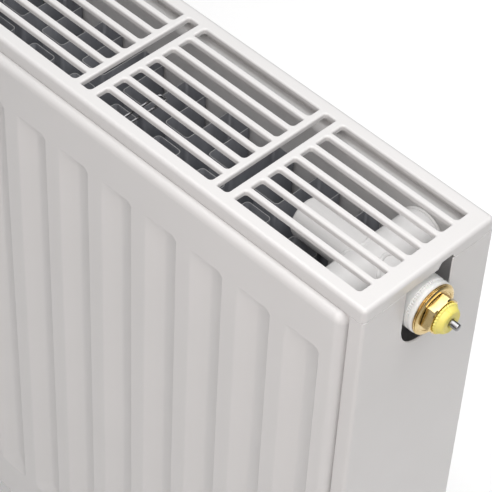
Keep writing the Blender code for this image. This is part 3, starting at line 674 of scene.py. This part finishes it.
def make_fins(side, inward):
    """A strip folded into square waves, whose inner crests lie on the panel's inner sheet."""
    nodes = [f"{side}_convector_{place}" for place in ("right", "mid_right", "mid_left", "left")]
    lows, highs = zip(*(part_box(node) for node in nodes))
    low = Vector(min(corner[axis] for corner in lows) for axis in range(3))
    high = Vector(max(corner[axis] for corner in highs) for axis in range(3))
    depth = high.y - low.y - FIN_SHEET
    seat = (low.y if inward > 0 else high.y) + inward * FIN_SHEET / 2
    near = high.x - (GROOVE_PITCH - FIN_CREST) / 2 - FIN_ROUND
    points = [(high.x, 0.0)]
    while near - FIN_CREST > low.x:
        far = near - FIN_CREST
        points += arc_points((near + FIN_ROUND, FIN_ROUND), FIN_ROUND, -QUARTER, -QUARTER)
        points += arc_points((near - FIN_ROUND, depth - FIN_ROUND), FIN_ROUND, 0, QUARTER)
        points += arc_points((far + FIN_ROUND, depth - FIN_ROUND), FIN_ROUND, QUARTER, QUARTER)
        points += arc_points((far - FIN_ROUND, FIN_ROUND), FIN_ROUND, 0, -QUARTER)
        near -= GROOVE_PITCH
    points.append((low.x, 0.0))
    mesh = bmesh.new()
    rows = []
    for z in (high.z, lerp(high.z, low.z, 0.5), low.z):
        rows.append([(x, seat + inward * away, z) for x, away in points])
    skin(mesh, rows, closed=False)
    clean(mesh, 0.002 * MM)
    fins = add_piece(f"{side}_fins", mesh, FIN, "radiator", "fin_sheet", *nodes)
    # The fins' cut edges take the paler edge colour, a painted highlight where they catch light.
    fins.data.materials.append(FIN_EDGE_HIGHLIGHT)
    thicken(fins, FIN_SHEET, 0, rim=1)


# ---------------- side covers

COVER_SHEET = 1.0 * MM
COVER_ROUND = 2.2 * MM
COVER_GAP = 0.3 * MM
END_HEAD = TOP - END_FLANGE - COVER_GAP
WINDOW_FRONT = 29.6 * MM
WINDOW_REAR = 63.0 * MM
WINDOW_DEPTH = 51.5 * MM
WINDOW_ROUND = 16.5 * MM


def cover_return(mesh, low, inner, outer, side, face, inward):
    """One return of a cover with its rounded corner. Returns the vertices of the corner's last edge."""
    corner = (outer - side * COVER_ROUND, face + inward * COVER_ROUND)
    head = TOP - FLANGE - COVER_GAP
    points = [(inner, face, head), (lerp(inner, corner[0], 0.7), face, head)]
    for sine, cosine in quarter(7):
        x = corner[0] + side * COVER_ROUND * sine
        y = corner[1] - inward * COVER_ROUND * cosine
        points.append((x, y, lerp(head, END_HEAD, end_share(sine))))
    columns = []
    for x, y, top in points:
        columns.append([(x, y, z) for z in (top, lerp(top, low, 0.5), low)])
    return skin(mesh, columns, closed=False)[-1]


def cover_window():
    """(y, z) points round the window: a slot with a round bottom that is open at the top."""
    front, rear = FRONT + WINDOW_FRONT, FRONT + WINDOW_REAR
    centre_z = TOP - WINDOW_DEPTH + WINDOW_ROUND
    window = [(front, END_HEAD)]
    window += arc_points((front + WINDOW_ROUND, centre_z), WINDOW_ROUND, 2 * QUARTER, QUARTER, 16)
    window += arc_points((rear - WINDOW_ROUND, centre_z), WINDOW_ROUND, -QUARTER, QUARTER, 16)
    return [*window, (rear, END_HEAD)]


def make_cover(node, body, side):
    """A sheet wrapped round one end, with a window for the valve or the vent."""
    low, high = corners_of(node)
    outer = high.x if side > 0 else low.x
    inner = low.x if side > 0 else high.x
    mesh = bmesh.new()
    front = cover_return(mesh, low.z, inner, outer, side, low.y, 1)
    rear = cover_return(mesh, low.z, inner, outer, side, high.y, -1)
    notch = loop_verts(mesh, [(outer, y, z) for y, z in cover_window()])
    fill_flat(mesh, [*front[::-1], *notch, *rear], [])
    clean(mesh, 0.002 * MM)
    face_towards(mesh, 0, side)
    cover = add_piece(node + "_look", mesh, PAINT, body, "white_enamel", node)
    # The cover's cut edges, its top and window rim, take the paler edge colour: a painted highlight.
    cover.data.materials.append(CUT_EDGE_HIGHLIGHT)
    thicken(cover, COVER_SHEET, -1, rim=1)
    break_edges(cover, "broken edges", 0.25 * MM, 50)
    even_shading(cover)


# ---------------- turned and swept pieces

BEAD_STEPS = 96
NUT_CORE = 0.9
CHAMFER_START = 1.02


def turned(mesh, profile, origin, axis, steps=64, shape=None):
    """Turns a closed profile of (radius, height) about an axis along X or Z.

    shape gives the radius at (radius, height, angle). The angle runs from +Y towards +Z on an
    axis along X, and from +X towards +Y on one along Z.
    """
    origin = Vector(origin)
    axis = Vector(axis)
    first, second = ((0, 1, 0), (0, 0, 1)) if abs(axis.x) > 0.5 else ((1, 0, 0), (0, 1, 0))
    first, second = Vector(first), Vector(second)
    rings = []
    for step in range(steps):
        angle = TURN * step / steps
        way = first * math.cos(angle) + second * math.sin(angle)
        ring = []
        for radius, height in profile:
            reach = shape(radius, height, angle) if shape else radius
            ring.append(origin + axis * height + way * reach)
        rings.append(ring)
    loops = skin(mesh, rings)
    bridge(mesh, loops[-1], loops[0])


def swept(mesh, path, radius, sides=32, closed=False, shape=None):
    """A round bar along a path, capped at its ends or closed on itself.

    shape gives the radius at each point's index.
    """
    path = [Vector(point) for point in path]
    count = len(path)
    rings = []
    across = None
    for index, point in enumerate(path):
        before = path[index - 1] if index or closed else point
        after = path[(index + 1) % count] if index < count - 1 or closed else point
        along = (after - before).normalized()
        if across is None:
            across = along.orthogonal().normalized()
        across = (across - along * across.dot(along)).normalized()
        up = along.cross(across)
        reach = shape(index) if shape else radius
        ring = []
        for side in range(sides):
            angle = TURN * side / sides
            ring.append(point + (across * math.cos(angle) + up * math.sin(angle)) * reach)
        rings.append(ring)
    loops = skin(mesh, rings)
    if closed:
        bridge(mesh, loops[-1], loops[0])
    else:
        mesh.faces.new(loops[0][::-1])
        mesh.faces.new(loops[-1])


def rounded_profile(profile, radius=0.25 * MM):
    """The profile with each corner off the axis rounded, by no more than a third of its sides."""
    points = [Vector(point) for point in profile]
    result = []
    for index, corner in enumerate(points):
        before = points[index - 1] - corner
        after = points[(index + 1) % len(points)] - corner
        if corner.x <= 0:
            result.append(tuple(corner))
            continue
        cut = min(radius, before.length / 3, after.length / 3)
        first = corner + before.normalized() * cut
        last = corner + after.normalized() * cut
        for step in range(4):
            share = step / 3
            result.append(tuple(first.lerp(corner, share).lerp(corner.lerp(last, share), share)))
    return result


def turned_piece(name, node, profile, origin, axis, look, body="radiator", steps=64, shape=None):
    """A turned piece with rounded corners that stands for one CAD node."""
    material, slot = look
    mesh = bmesh.new()
    turned(mesh, rounded_profile(profile), origin, axis, steps, shape)
    clean(mesh, 0.001 * MM)
    add_piece(name, mesh, material, body, slot, node)


def weld_bead(mesh, place, tube, branch, side, radius=1.3 * MM):
    """A bead round the joint of a branch along X with a tube along Y, on one side of the tube."""
    path = []
    for step in range(BEAD_STEPS):
        angle = TURN * step / BEAD_STEPS
        y, z = branch * math.cos(angle), branch * math.sin(angle)
        path.append(place + Vector((side * math.sqrt(tube * tube - z * z), y, z)))

    def ripples(index):
        """The bead's radius at a point, uneven as a weld is."""
        return radius * (1 + 0.12 * math.sin(index * 1.9) + 0.06 * math.sin(index * 0.7))

    swept(mesh, path, radius, sides=12, closed=True, shape=ripples)


# ---------------- tees and pipes

CROSS_R = 13.0 * MM
BRANCH_R = 11.5 * MM
WIRE_R = 0.8 * MM
PIPE_R = 6.0 * MM
PIPE_BEND = 10.0 * MM
BEND_STEPS = 10
RUN_DROP = 372.0 * MM
SOCKET_R = 7.2 * MM
BLIND_DOME = 4.0 * MM
END_BEAD_R = 0.9 * MM
TEE_IN = 35.0 * MM
RISER_IN = 54.5 * MM
ALONG = Vector((1, 0, 0))
UP = Vector((0, 0, 1))


def along_x(start, end, radius, dome=0.0):
    """The profile of a bar from x = start to x = end, domed at its start."""
    profile = [(0.0, start)]
    if dome:
        profile += [(radius * sine, start + dome * (1 - cosine)) for sine, cosine in quarter(6)[1:]]
    else:
        profile.append((radius, start))
    return [*profile, (radius, end), (0.0, end)]


def end_bead(mesh, place, y):
    """A small bead round the end of a cross tube, where it meets a panel."""
    ring = []
    for step in range(BEAD_STEPS):
        angle = TURN * step / BEAD_STEPS
        ring.append((place.x + CROSS_R * math.cos(angle), y, place.z + CROSS_R * math.sin(angle)))
    swept(mesh, ring, END_BEAD_R, sides=10, closed=True)


def make_tee(node, side, blind=None):
    """A tube across the two panels with a branch along X towards the end of the radiator.

    With blind, the branch starts at that x in a dome and has a socket below for the riser.
    """
    low, high = corners_of(node)
    place = Vector((side * (RIGHT - TEE_IN), MIDDLE, high.z - CROSS_R))
    mesh = bmesh.new()
    path = [(place.x, lerp(low.y, high.y, share / 4), place.z) for share in range(5)]
    swept(mesh, path, CROSS_R, sides=64)
    end = high.x if side > 0 else low.x
    start = place.x if blind is None else blind
    profile = along_x(0.0, abs(end - start), BRANCH_R, 0.0 if blind is None else BLIND_DOME)
    turned(mesh, profile, (start, MIDDLE, place.z), ALONG * side)
    weld_bead(mesh, place, CROSS_R, BRANCH_R, side)
    if blind is not None:
        weld_bead(mesh, place, CROSS_R, BRANCH_R, -side)
        drop = place.z - low.z
        profile = rounded_profile([(0.0, 0.0), (SOCKET_R, 0.0), (SOCKET_R, drop), (0.0, drop)])
        turned(mesh, profile, (side * (RIGHT - RISER_IN), MIDDLE, place.z), -UP)
    end_bead(mesh, place, low.y + MM)
    end_bead(mesh, place, high.y - MM)
    clean(mesh, 0.001 * MM)
    # The lighter enamel copy is painted light on the tee, which sits in shade.
    add_piece(node + "_look", mesh, TEE_PAINT_LIGHTENED, "radiator", "white_enamel", node)


def bent_path(points, radius):
    """The points of a path with its right-angled corners rounded."""
    path = [Vector(points[0])]
    for before, corner, after in zip(points, points[1:], points[2:]):
        corner = Vector(corner)
        back = (Vector(before) - corner).normalized()
        on = (Vector(after) - corner).normalized()
        middle = corner + (back + on) * radius
        for sine, cosine in quarter(BEND_STEPS):
            path.append(middle - on * radius * cosine - back * radius * sine)
    path.append(Vector(points[-1]))
    return path


def make_pipe(node, corners):
    mesh = bmesh.new()
    swept(mesh, bent_path(corners, PIPE_BEND), PIPE_R, sides=40)
    clean(mesh, 0.001 * MM)
    # The lighter enamel copy is painted light on the pipe, which sits in shade.
    add_piece(node + "_look", mesh, TEE_PAINT_LIGHTENED, "radiator", "white_enamel", node)


def make_pipes():
    low, high = corners_of("riser_pipe")
    foot_x = low.x + PIPE_R
    head_x = high.x - PIPE_R
    run = TOP - RUN_DROP
    corners = [(head_x, MIDDLE, high.z), (head_x, MIDDLE, run), (foot_x, MIDDLE, run)]
    make_pipe("riser_pipe", [*corners, (foot_x, MIDDLE, low.z)])
    low, high = corners_of("return_pipe")
    middle_x = (low.x + high.x) / 2
    make_pipe("return_pipe", [(middle_x, MIDDLE, low.z), (middle_x, MIDDLE, high.z)])


# ---------------- nipples, plugs and vent

BRASS_LOOK = (BRASS, "brass")
STEEL_LOOK = (STEEL, "steel")
RUBBER_LOOK = (RUBBER, "seal_rubber")
WHITE_LOOK = (WHITE_PLASTIC, "white_plastic")
YELLOW_LOOK = (YELLOW_PLASTIC, "yellow_plastic")
SIXTH = TURN / 6
NIPPLE_BORE_R = 5.0 * MM
NIPPLE_SEAT_R = 6.3 * MM
FLANGE_SHEET = 3.0 * MM
PLUG_R = 8.7 * MM
PLUG_HEAD_R = 11.3 * MM
PLUG_HEAD = 2.2 * MM
PLUG_KEY_R = 5.0 * MM
KEY_DEPTH = 6.0 * MM
SEAL_INNER_R = 9.1 * MM
SEAL_OUTER_R = 11.2 * MM
VENT_HOLE_R = 3.5 * MM
NOZZLE_R = 7.6 * MM
NOZZLE_DEPTH = 4.0 * MM
SPOUT_IN = 1.9 * MM
SPOUT_R = 1.6 * MM
BLEED_R = 3.2 * MM
BLEED_KEY_R = 1.7 * MM


def thread(crest, start, end, pitch, depth):
    """Profile points of a thread from one height to another, as even ridges."""
    turns = max(int(abs(end - start) / pitch), 1)
    step = (end - start) / turns
    points = []
    for turn in range(turns):
        base = start + turn * step
        points += [(crest - depth, base), (crest, base + step * 0.4), (crest, base + step * 0.6)]
    return [*points, (crest - depth, end)]


def key_socket(key, flats, reach, low, high):
    """A shape for turned that gives the wall of a socket its flats, between two heights."""
    half = TURN / flats / 2

    def shape(radius, height, angle):
        if abs(radius - key) > reach or not low <= height <= high:
            return radius
        off = angle % (2 * half) - half
        return key * math.cos(half) / math.cos(off) + radius - key

    return shape


def hexagon(across_flats, turn, cone_from, cone_to, slope):
    """A shape for turned that cuts flats with chamfered corners between two heights."""

    def shape(radius, height, angle):
        if radius <= across_flats / 2 * NUT_CORE or not cone_from <= height <= cone_to:
            return radius
        off = (angle - turn) % SIXTH - SIXTH / 2
        flat = across_flats / 2 / math.cos(off)
        chamfer = across_flats / 2 * CHAMFER_START + (cone_to - height) * slope
        return min(flat, chamfer, radius)

    return shape


def ribbed(count, depth, low, high, inner):
    """A shape for turned with rounded ribs all round between two heights, outside the radius inner."""

    def shape(radius, height, angle):
        if radius < inner or not low <= height <= high:
            return radius
        return radius - depth * (0.5 - 0.5 * math.cos(count * angle))

    return shape


def make_clips():
    """The spring wires under the grille, each bent like a hairpin."""
    inset = Vector((WIRE_R, WIRE_R, WIRE_R))
    for node in ("grille_clip_right", "grille_clip_left"):
        low, high = corners_of(node)
        foot_z = low.z
        low, high = low + inset, high - inset
        corners = [(low.x, low.y, foot_z), (low.x, low.y, high.z), (low.x, high.y, high.z)]
        corners += [(high.x, high.y, high.z), (high.x, low.y, high.z), (high.x, low.y, foot_z)]
        mesh = bmesh.new()
        swept(mesh, bent_path(corners, 2 * WIRE_R), WIRE_R, sides=24)
        add_piece(node + "_look", mesh, WIRE_STEEL, "grille", "steel", node)


def make_nipples():
    for node in ("flow_nipple", "return_nipple"):
        low, high = corners_of(node)
        length = high.z - low.z
        flange = (high.x - low.x) / 2
        crest = flange - 1.3 * MM
        profile = [(NIPPLE_SEAT_R, 0.0), (flange, 0.0), (flange, FLANGE_SHEET), (crest - MM, FLANGE_SHEET)]
        profile += thread(crest, 4 * MM, length - 1.2 * MM, 1.8 * MM, 0.9 * MM)
        profile += [(crest - 1.3 * MM, length), (8 * MM, length), (NIPPLE_BORE_R, 9 * MM)]
        profile += [(NIPPLE_BORE_R, 7 * MM), (NIPPLE_SEAT_R, 7 * MM)]
        place = ((low.x + high.x) / 2, MIDDLE, high.z)
        turned_piece(node + "_look", node, profile, place, -UP, BRASS_LOOK)


def make_plug(node, side, look, hole=0.0):
    """A screwed plug with a hexagon socket or a bored middle, and its seal."""
    low, high = corners_of(node)
    middle = (low + high) / 2
    length = high.x - low.x
    place = (high.x if side > 0 else low.x, middle.y, middle.z)
    profile = [(PLUG_R, -length), (PLUG_R, -PLUG_HEAD), (PLUG_HEAD_R, -PLUG_HEAD)]
    profile += [(PLUG_HEAD_R, -0.7 * MM), (10 * MM, 0.0)]
    shape = None
    if hole:
        profile = [(hole, -length), *profile, (hole, 0.0)]
    else:
        floor = -KEY_DEPTH - MM
        profile = [(0.0, -length), *profile, (PLUG_KEY_R, 0.0), (PLUG_KEY_R, -KEY_DEPTH), (0.0, floor)]
        shape = key_socket(PLUG_KEY_R, 6, 0.6 * MM, -KEY_DEPTH - 0.5 * MM, MM)
    turned_piece(node + "_look", node, profile, place, ALONG * side, look, shape=shape)
    low, high = corners_of(node + "_seal")
    depth = high.x - low.x
    profile = [(SEAL_INNER_R, 0.0), (SEAL_OUTER_R, 0.0), (SEAL_OUTER_R, depth), (SEAL_INNER_R, depth)]
    place = (low.x if side > 0 else high.x, middle.y, middle.z)
    turned_piece(node + "_seal_look", node + "_seal", profile, place, ALONG * side, RUBBER_LOOK)


def make_nozzle():
    """The vent's turning nozzle: a knurled cap with a spout towards one side."""
    low, high = corners_of("vent_nozzle")
    profile = [(VENT_HOLE_R, 0.0), (NOZZLE_R, 0.0), (NOZZLE_R, NOZZLE_DEPTH - MM)]
    profile += [(6.4 * MM, NOZZLE_DEPTH), (VENT_HOLE_R, NOZZLE_DEPTH)]
    mesh = bmesh.new()
    knurl = ribbed(28, 0.35 * MM, 0.6 * MM, 2.8 * MM, 7 * MM)
    turned(mesh, rounded_profile(profile), (high.x, MIDDLE, VALVE_AXIS.z), -ALONG, 168, knurl)
    spout_end = low.y if MIDDLE - low.y > high.y - MIDDLE else high.y
    root = MIDDLE + math.copysign(6.5 * MM, spout_end - MIDDLE)
    spout_x = high.x - SPOUT_IN
    spout = [(spout_x, root, VALVE_AXIS.z), (spout_x, spout_end, VALVE_AXIS.z)]
    swept(mesh, spout, SPOUT_R, sides=24)
    clean(mesh, 0.001 * MM)
    add_piece("vent_nozzle_look", mesh, WHITE_PLASTIC, "nozzle", "white_plastic", "vent_nozzle")


def make_bleed_screw():
    """The bleed screw, with a square socket in its end."""
    face = corners_of("vent_nozzle")[1].x
    low, high = corners_of("bleed_screw")
    tip = face - low.x
    root = face - high.x
    profile = [(0.0, root), (BLEED_R, root + 2 * MM)]
    profile += thread(BLEED_R, root + 2.4 * MM, tip - 1.6 * MM, MM, 0.4 * MM)
    profile += [(BLEED_R, tip - 0.6 * MM), (2.6 * MM, tip), (BLEED_KEY_R, tip)]
    profile += [(BLEED_KEY_R, tip - 4 * MM), (0.0, tip - 4.2 * MM)]
    name = "bleed_screw"
    place = (face, MIDDLE, VALVE_AXIS.z)
    socket = key_socket(BLEED_KEY_R, 4, 0.3 * MM, tip - 4.1 * MM, tip + MM)
    turned_piece(name + "_look", name, profile, place, -ALONG, BRASS_LOOK, "bleed", shape=socket)


# ---------------- valve insert

COLLAR_FACE = 3.4 * MM
INSERT_FACE = 3.7 * MM
NUT_SEAT = 5.7 * MM
NUT_FOOT = NUT_SEAT + 0.3 * MM
NUT_FLATS = 19.0 * MM
NUT_TURN = math.radians(71.5)
RING_SEAT = 11.7 * MM
PIN_R = 2.0 * MM
PIN_BORE_R = PIN_R + 0.3 * MM
PIN_DOME = 0.8 * MM
INSERT_R = 8.7 * MM
INSERT_BORE_R = 5.6 * MM
RING_FOOT_R = 8.9 * MM
RING_MARK = math.radians(101.5)


def make_collar():
    """The collar that sleeves over the tee's end, with a row of small studs round it."""
    low, high = corners_of("valve_collar")
    depth = high.x - low.x
    sleeve = depth - COLLAR_FACE - 2 * MM
    outer = (high.y - low.y) / 2
    bore = BRANCH_R + 0.3 * MM
    profile = [(bore, 0.0), (outer - MM, 0.0), (outer, MM), (outer, sleeve + 0.9 * MM)]
    profile += [(outer - 0.25 * MM, sleeve + 1.1 * MM), (outer - 0.25 * MM, sleeve + 2.7 * MM)]
    profile += [(outer, sleeve + 2.9 * MM), (outer, depth - 0.8 * MM), (outer - 0.8 * MM, depth)]
    profile += [(9.0 * MM, depth), (9.0 * MM, sleeve), (bore, sleeve)]
    studs = ribbed(64, 0.4 * MM, sleeve + MM, sleeve + 2.8 * MM, outer - 0.4 * MM)
    place = (low.x, MIDDLE, VALVE_AXIS.z)
    name = "valve_collar"
    turned_piece(name + "_look", name, profile, place, ALONG, WHITE_LOOK, steps=384, shape=studs)


def make_insert():
    """The insert's brass body: a ridged flange outside, and a stem with a seal groove inside."""
    profile = [(INSERT_BORE_R, NUT_SEAT), (11.3 * MM, NUT_SEAT), (11.3 * MM, NUT_FOOT)]
    profile += [(12.9 * MM, NUT_FOOT), (14.2 * MM, 5.35 * MM), (13.45 * MM, 4.95 * MM)]
    profile += [(14.45 * MM, 4.6 * MM), (14.45 * MM, 4.45 * MM), (13.6 * MM, 4.15 * MM)]
    profile += [(14.4 * MM, 3.9 * MM), (13.7 * MM, INSERT_FACE), (INSERT_R, INSERT_FACE)]
    profile += [(INSERT_R, -14.3 * MM), (7 * MM, -14.3 * MM), (7 * MM, -16.3 * MM), (INSERT_R, -16.3 * MM)]
    profile += [(INSERT_R, -22.3 * MM), (6.5 * MM, -24.3 * MM), (PIN_BORE_R, -24.3 * MM)]
    profile += [(PIN_BORE_R, -21.3 * MM), (INSERT_BORE_R, -21.3 * MM)]
    place = (RIGHT, MIDDLE, VALVE_AXIS.z)
    turned_piece("insert_body_look", "insert_body", profile, place, ALONG, BRASS_LOOK, steps=96)


def make_gland_nut():
    crown = RING_SEAT - 0.3 * MM
    stem = NUT_FOOT - 4 * MM
    profile = [(PIN_BORE_R, stem), (5.3 * MM, stem), (5.3 * MM, NUT_FOOT)]
    profile += [(NUT_FLATS, lerp(NUT_FOOT, crown, share / 8)) for share in range(9)]
    profile += [(8.2 * MM, crown), (PIN_BORE_R, crown)]
    flats = hexagon(NUT_FLATS, NUT_TURN, NUT_FOOT - 0.1 * MM, crown, 1.6)
    mesh = bmesh.new()
    turned(mesh, profile, (RIGHT, MIDDLE, VALVE_AXIS.z), ALONG, 144, flats)
    clean(mesh, 0.001 * MM)
    add_piece("gland_nut_look", mesh, BRASS, "radiator", "brass", "gland_nut", smooth=25)


def make_spindle():
    """The pin with its domed tip, a collar half way and a head that holds the disc."""
    low, high = corners_of("valve_spindle")
    tip = high.x - RIGHT
    root = low.x - RIGHT
    profile = [(0.0, tip)]
    profile += [(PIN_R * sine, tip - PIN_DOME * (1 - cosine)) for sine, cosine in quarter(6)[1:]]
    profile += [(PIN_R, -4 * MM), (4.8 * MM, -4 * MM), (4.8 * MM, -5.5 * MM), (PIN_R, -5.5 * MM)]
    profile += [(PIN_R, root + 1.4 * MM), (5 * MM, root + 1.4 * MM), (5 * MM, root), (0.0, root)]
    mesh = bmesh.new()
    turned(mesh, profile, (RIGHT, MIDDLE, VALVE_AXIS.z), ALONG, 48)
    clean(mesh, 0.001 * MM)
    add_piece("valve_spindle_look", mesh, PIN_STEEL, "spindle", "steel", "valve_spindle")


def ring_shape(radius, _, angle):
    """Ribs round the ring's foot, and shallow flats and an index groove on its cone."""
    if radius > 8.6 * MM:
        return radius - 0.45 * MM * (0.5 - 0.5 * math.cos(30 * angle))
    if radius < 5 * MM:
        return radius
    off = math.atan2(math.sin(angle - RING_MARK), math.cos(angle - RING_MARK))
    groove = 0.35 * MM if abs(off) < 0.035 else 0.0
    return radius * (1 - 0.012 * (0.5 - 0.5 * math.cos(8 * angle))) - groove


def make_preset_ring():
    """The coned ring round the pin, with a seat in its face."""
    low, high = corners_of("preset_ring")
    height = high.x - low.x
    profile = [(PIN_BORE_R, 0.0), (RING_FOOT_R, 0.0), (RING_FOOT_R, 0.35 * MM), (RING_FOOT_R, 1.1 * MM)]
    profile += [(8.3 * MM, 1.3 * MM), (8.1 * MM, 1.5 * MM), (7.6 * MM, 2.6 * MM), (7.1 * MM, 3.7 * MM)]
    profile += [(6.7 * MM, 4.2 * MM), (6.1 * MM, height), (2.9 * MM, height), (2.5 * MM, height - 0.5 * MM)]
    profile += [(PIN_BORE_R, height - 0.6 * MM)]
    name = "presetting_ring_look"
    place = (low.x, MIDDLE, VALVE_AXIS.z)
    turned_piece(name, "preset_ring", profile, place, ALONG, YELLOW_LOOK, "preset", 240, ring_shape)


# ---------------- all pieces

make_grille()
make_panels()
make_fins("front", 1)
make_fins("rear", -1)
make_cover("side_cover_right", "cover_right", 1)
make_cover("side_cover_left", "cover_left", -1)
make_tee("valve_tee", 1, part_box("valve_tee")[0][0])
make_tee("bottom_tee_right", 1)
make_tee("top_tee_left", -1)
make_tee("bottom_tee_left", -1)
make_pipes()
make_nipples()
make_plug("blanking_plug_right", 1, STEEL_LOOK)
make_plug("blanking_plug_left", -1, STEEL_LOOK)
make_plug("vent_plug", -1, BRASS_LOOK, VENT_HOLE_R)
make_nozzle()
make_bleed_screw()
make_collar()
make_insert()
make_gland_nut()
make_spindle()
make_preset_ring()
for lug in ("lug_upper_right", "lug_upper_left", "lug_lower_right", "lug_lower_left"):
    break_edges(frame["nodes"][lug], "soft edges", 0.5 * MM, 40)
make_clips()


# ---------------- stage, light and camera

FLOOR_DROP = 0.12
FLOOR_SIZE = 6.0
SENSOR_WIDTH = 36.0
CLIP_START = 0.01
WORLD_STRENGTH = 0.12
CAMERA_PLACE = (0.6549, -0.6233, 0.7871)
CAMERA_AZIMUTH = 43.007
CAMERA_ELEVATION = 46.361
CAMERA_ROLL = 3.248
CAMERA_LENS = 154.93
WARM = (1.0, 0.915, 0.89)


def make_stage():
    mesh = bmesh.new()
    bmesh.ops.create_grid(mesh, x_segments=1, y_segments=1, size=FLOOR_SIZE)
    data = bpy.data.meshes.new("floor")
    mesh.to_mesh(data)
    mesh.free()
    floor = bpy.data.objects.new("floor", data)
    floor.location = (0, 0, CAD_BOX[0][2] - FLOOR_DROP)
    bpy.context.scene.collection.objects.link(floor)
    nodes = Nodes("pale floor")
    nodes.color(nodes.noise(1.5), (0.95, 0.95, 0.95), (0.97, 0.97, 0.97))
    nodes.set(Roughness=0.8)
    data.materials.append(nodes.material)


def area_light(name, place, aim, size, power, color=(1, 1, 1)):
    data = bpy.data.lights.new(name, "AREA")
    data.size = size
    data.energy = power
    data.color = color
    light = bpy.data.objects.new(name, data)
    light.location = place
    light.rotation_euler = (Vector(aim) - Vector(place)).to_track_quat("-Z", "Y").to_euler()
    light.visible_camera = False
    bpy.context.scene.collection.objects.link(light)


def make_light():
    """A broad light overhead, one in front, one off the right end, and one on the floor behind."""
    world = bpy.data.worlds.new("studio")
    bpy.context.scene.world = world
    world.use_nodes = True
    background = world.node_tree.nodes["Background"]
    background.inputs["Color"].default_value = (1, 1, 1, 1)
    background.inputs["Strength"].default_value = WORLD_STRENGTH
    area_light("overhead", (0.3, -0.05, 1.8), (0.15, 0, 0), 2.3, 45)
    area_light("front", (0.55, -0.75, 0.55), (0.15, 0, -0.1), 0.7, 3.8, WARM)
    area_light("side", (2.2, -0.4, 0.5), (0.2, 0, -0.1), 2.0, 1.9, WARM)
    area_light("floor_wash", (-0.05, 0.8, 0.0), (-0.05, 0.8, -1.0), 1.3, 3.0)
    bpy.context.scene.view_settings.view_transform = "Standard"


def make_camera():
    data = bpy.data.cameras.new("camera")
    data.lens = CAMERA_LENS
    data.sensor_width = SENSOR_WIDTH
    data.clip_start = CLIP_START
    camera = bpy.data.objects.new("camera", data)
    turn = Euler((0, 0, math.radians(CAMERA_AZIMUTH))).to_matrix()
    tilt = Euler((QUARTER - math.radians(CAMERA_ELEVATION), 0, 0)).to_matrix()
    roll = Euler((0, 0, math.radians(CAMERA_ROLL))).to_matrix()
    camera.matrix_world = Matrix.Translation(CAMERA_PLACE) @ (turn @ tilt @ roll).to_4x4()
    bpy.context.scene.collection.objects.link(camera)
    bpy.context.scene.camera = camera


make_stage()
make_light()
make_camera()

SLOT_MATERIALS = {
    "white_enamel": PAINT,
    "fin_sheet": FIN,
    "white_plastic": WHITE_PLASTIC,
    "yellow_plastic": YELLOW_PLASTIC,
    "brass": BRASS,
    "steel": STEEL,
    "seal_rubber": RUBBER,
}
for subpart in frame["record"]["subparts"]:
    node = frame["nodes"][subpart["node"]]
    node.data.materials.clear()
    node.data.materials.append(SLOT_MATERIALS[subpart["material_slot"]])
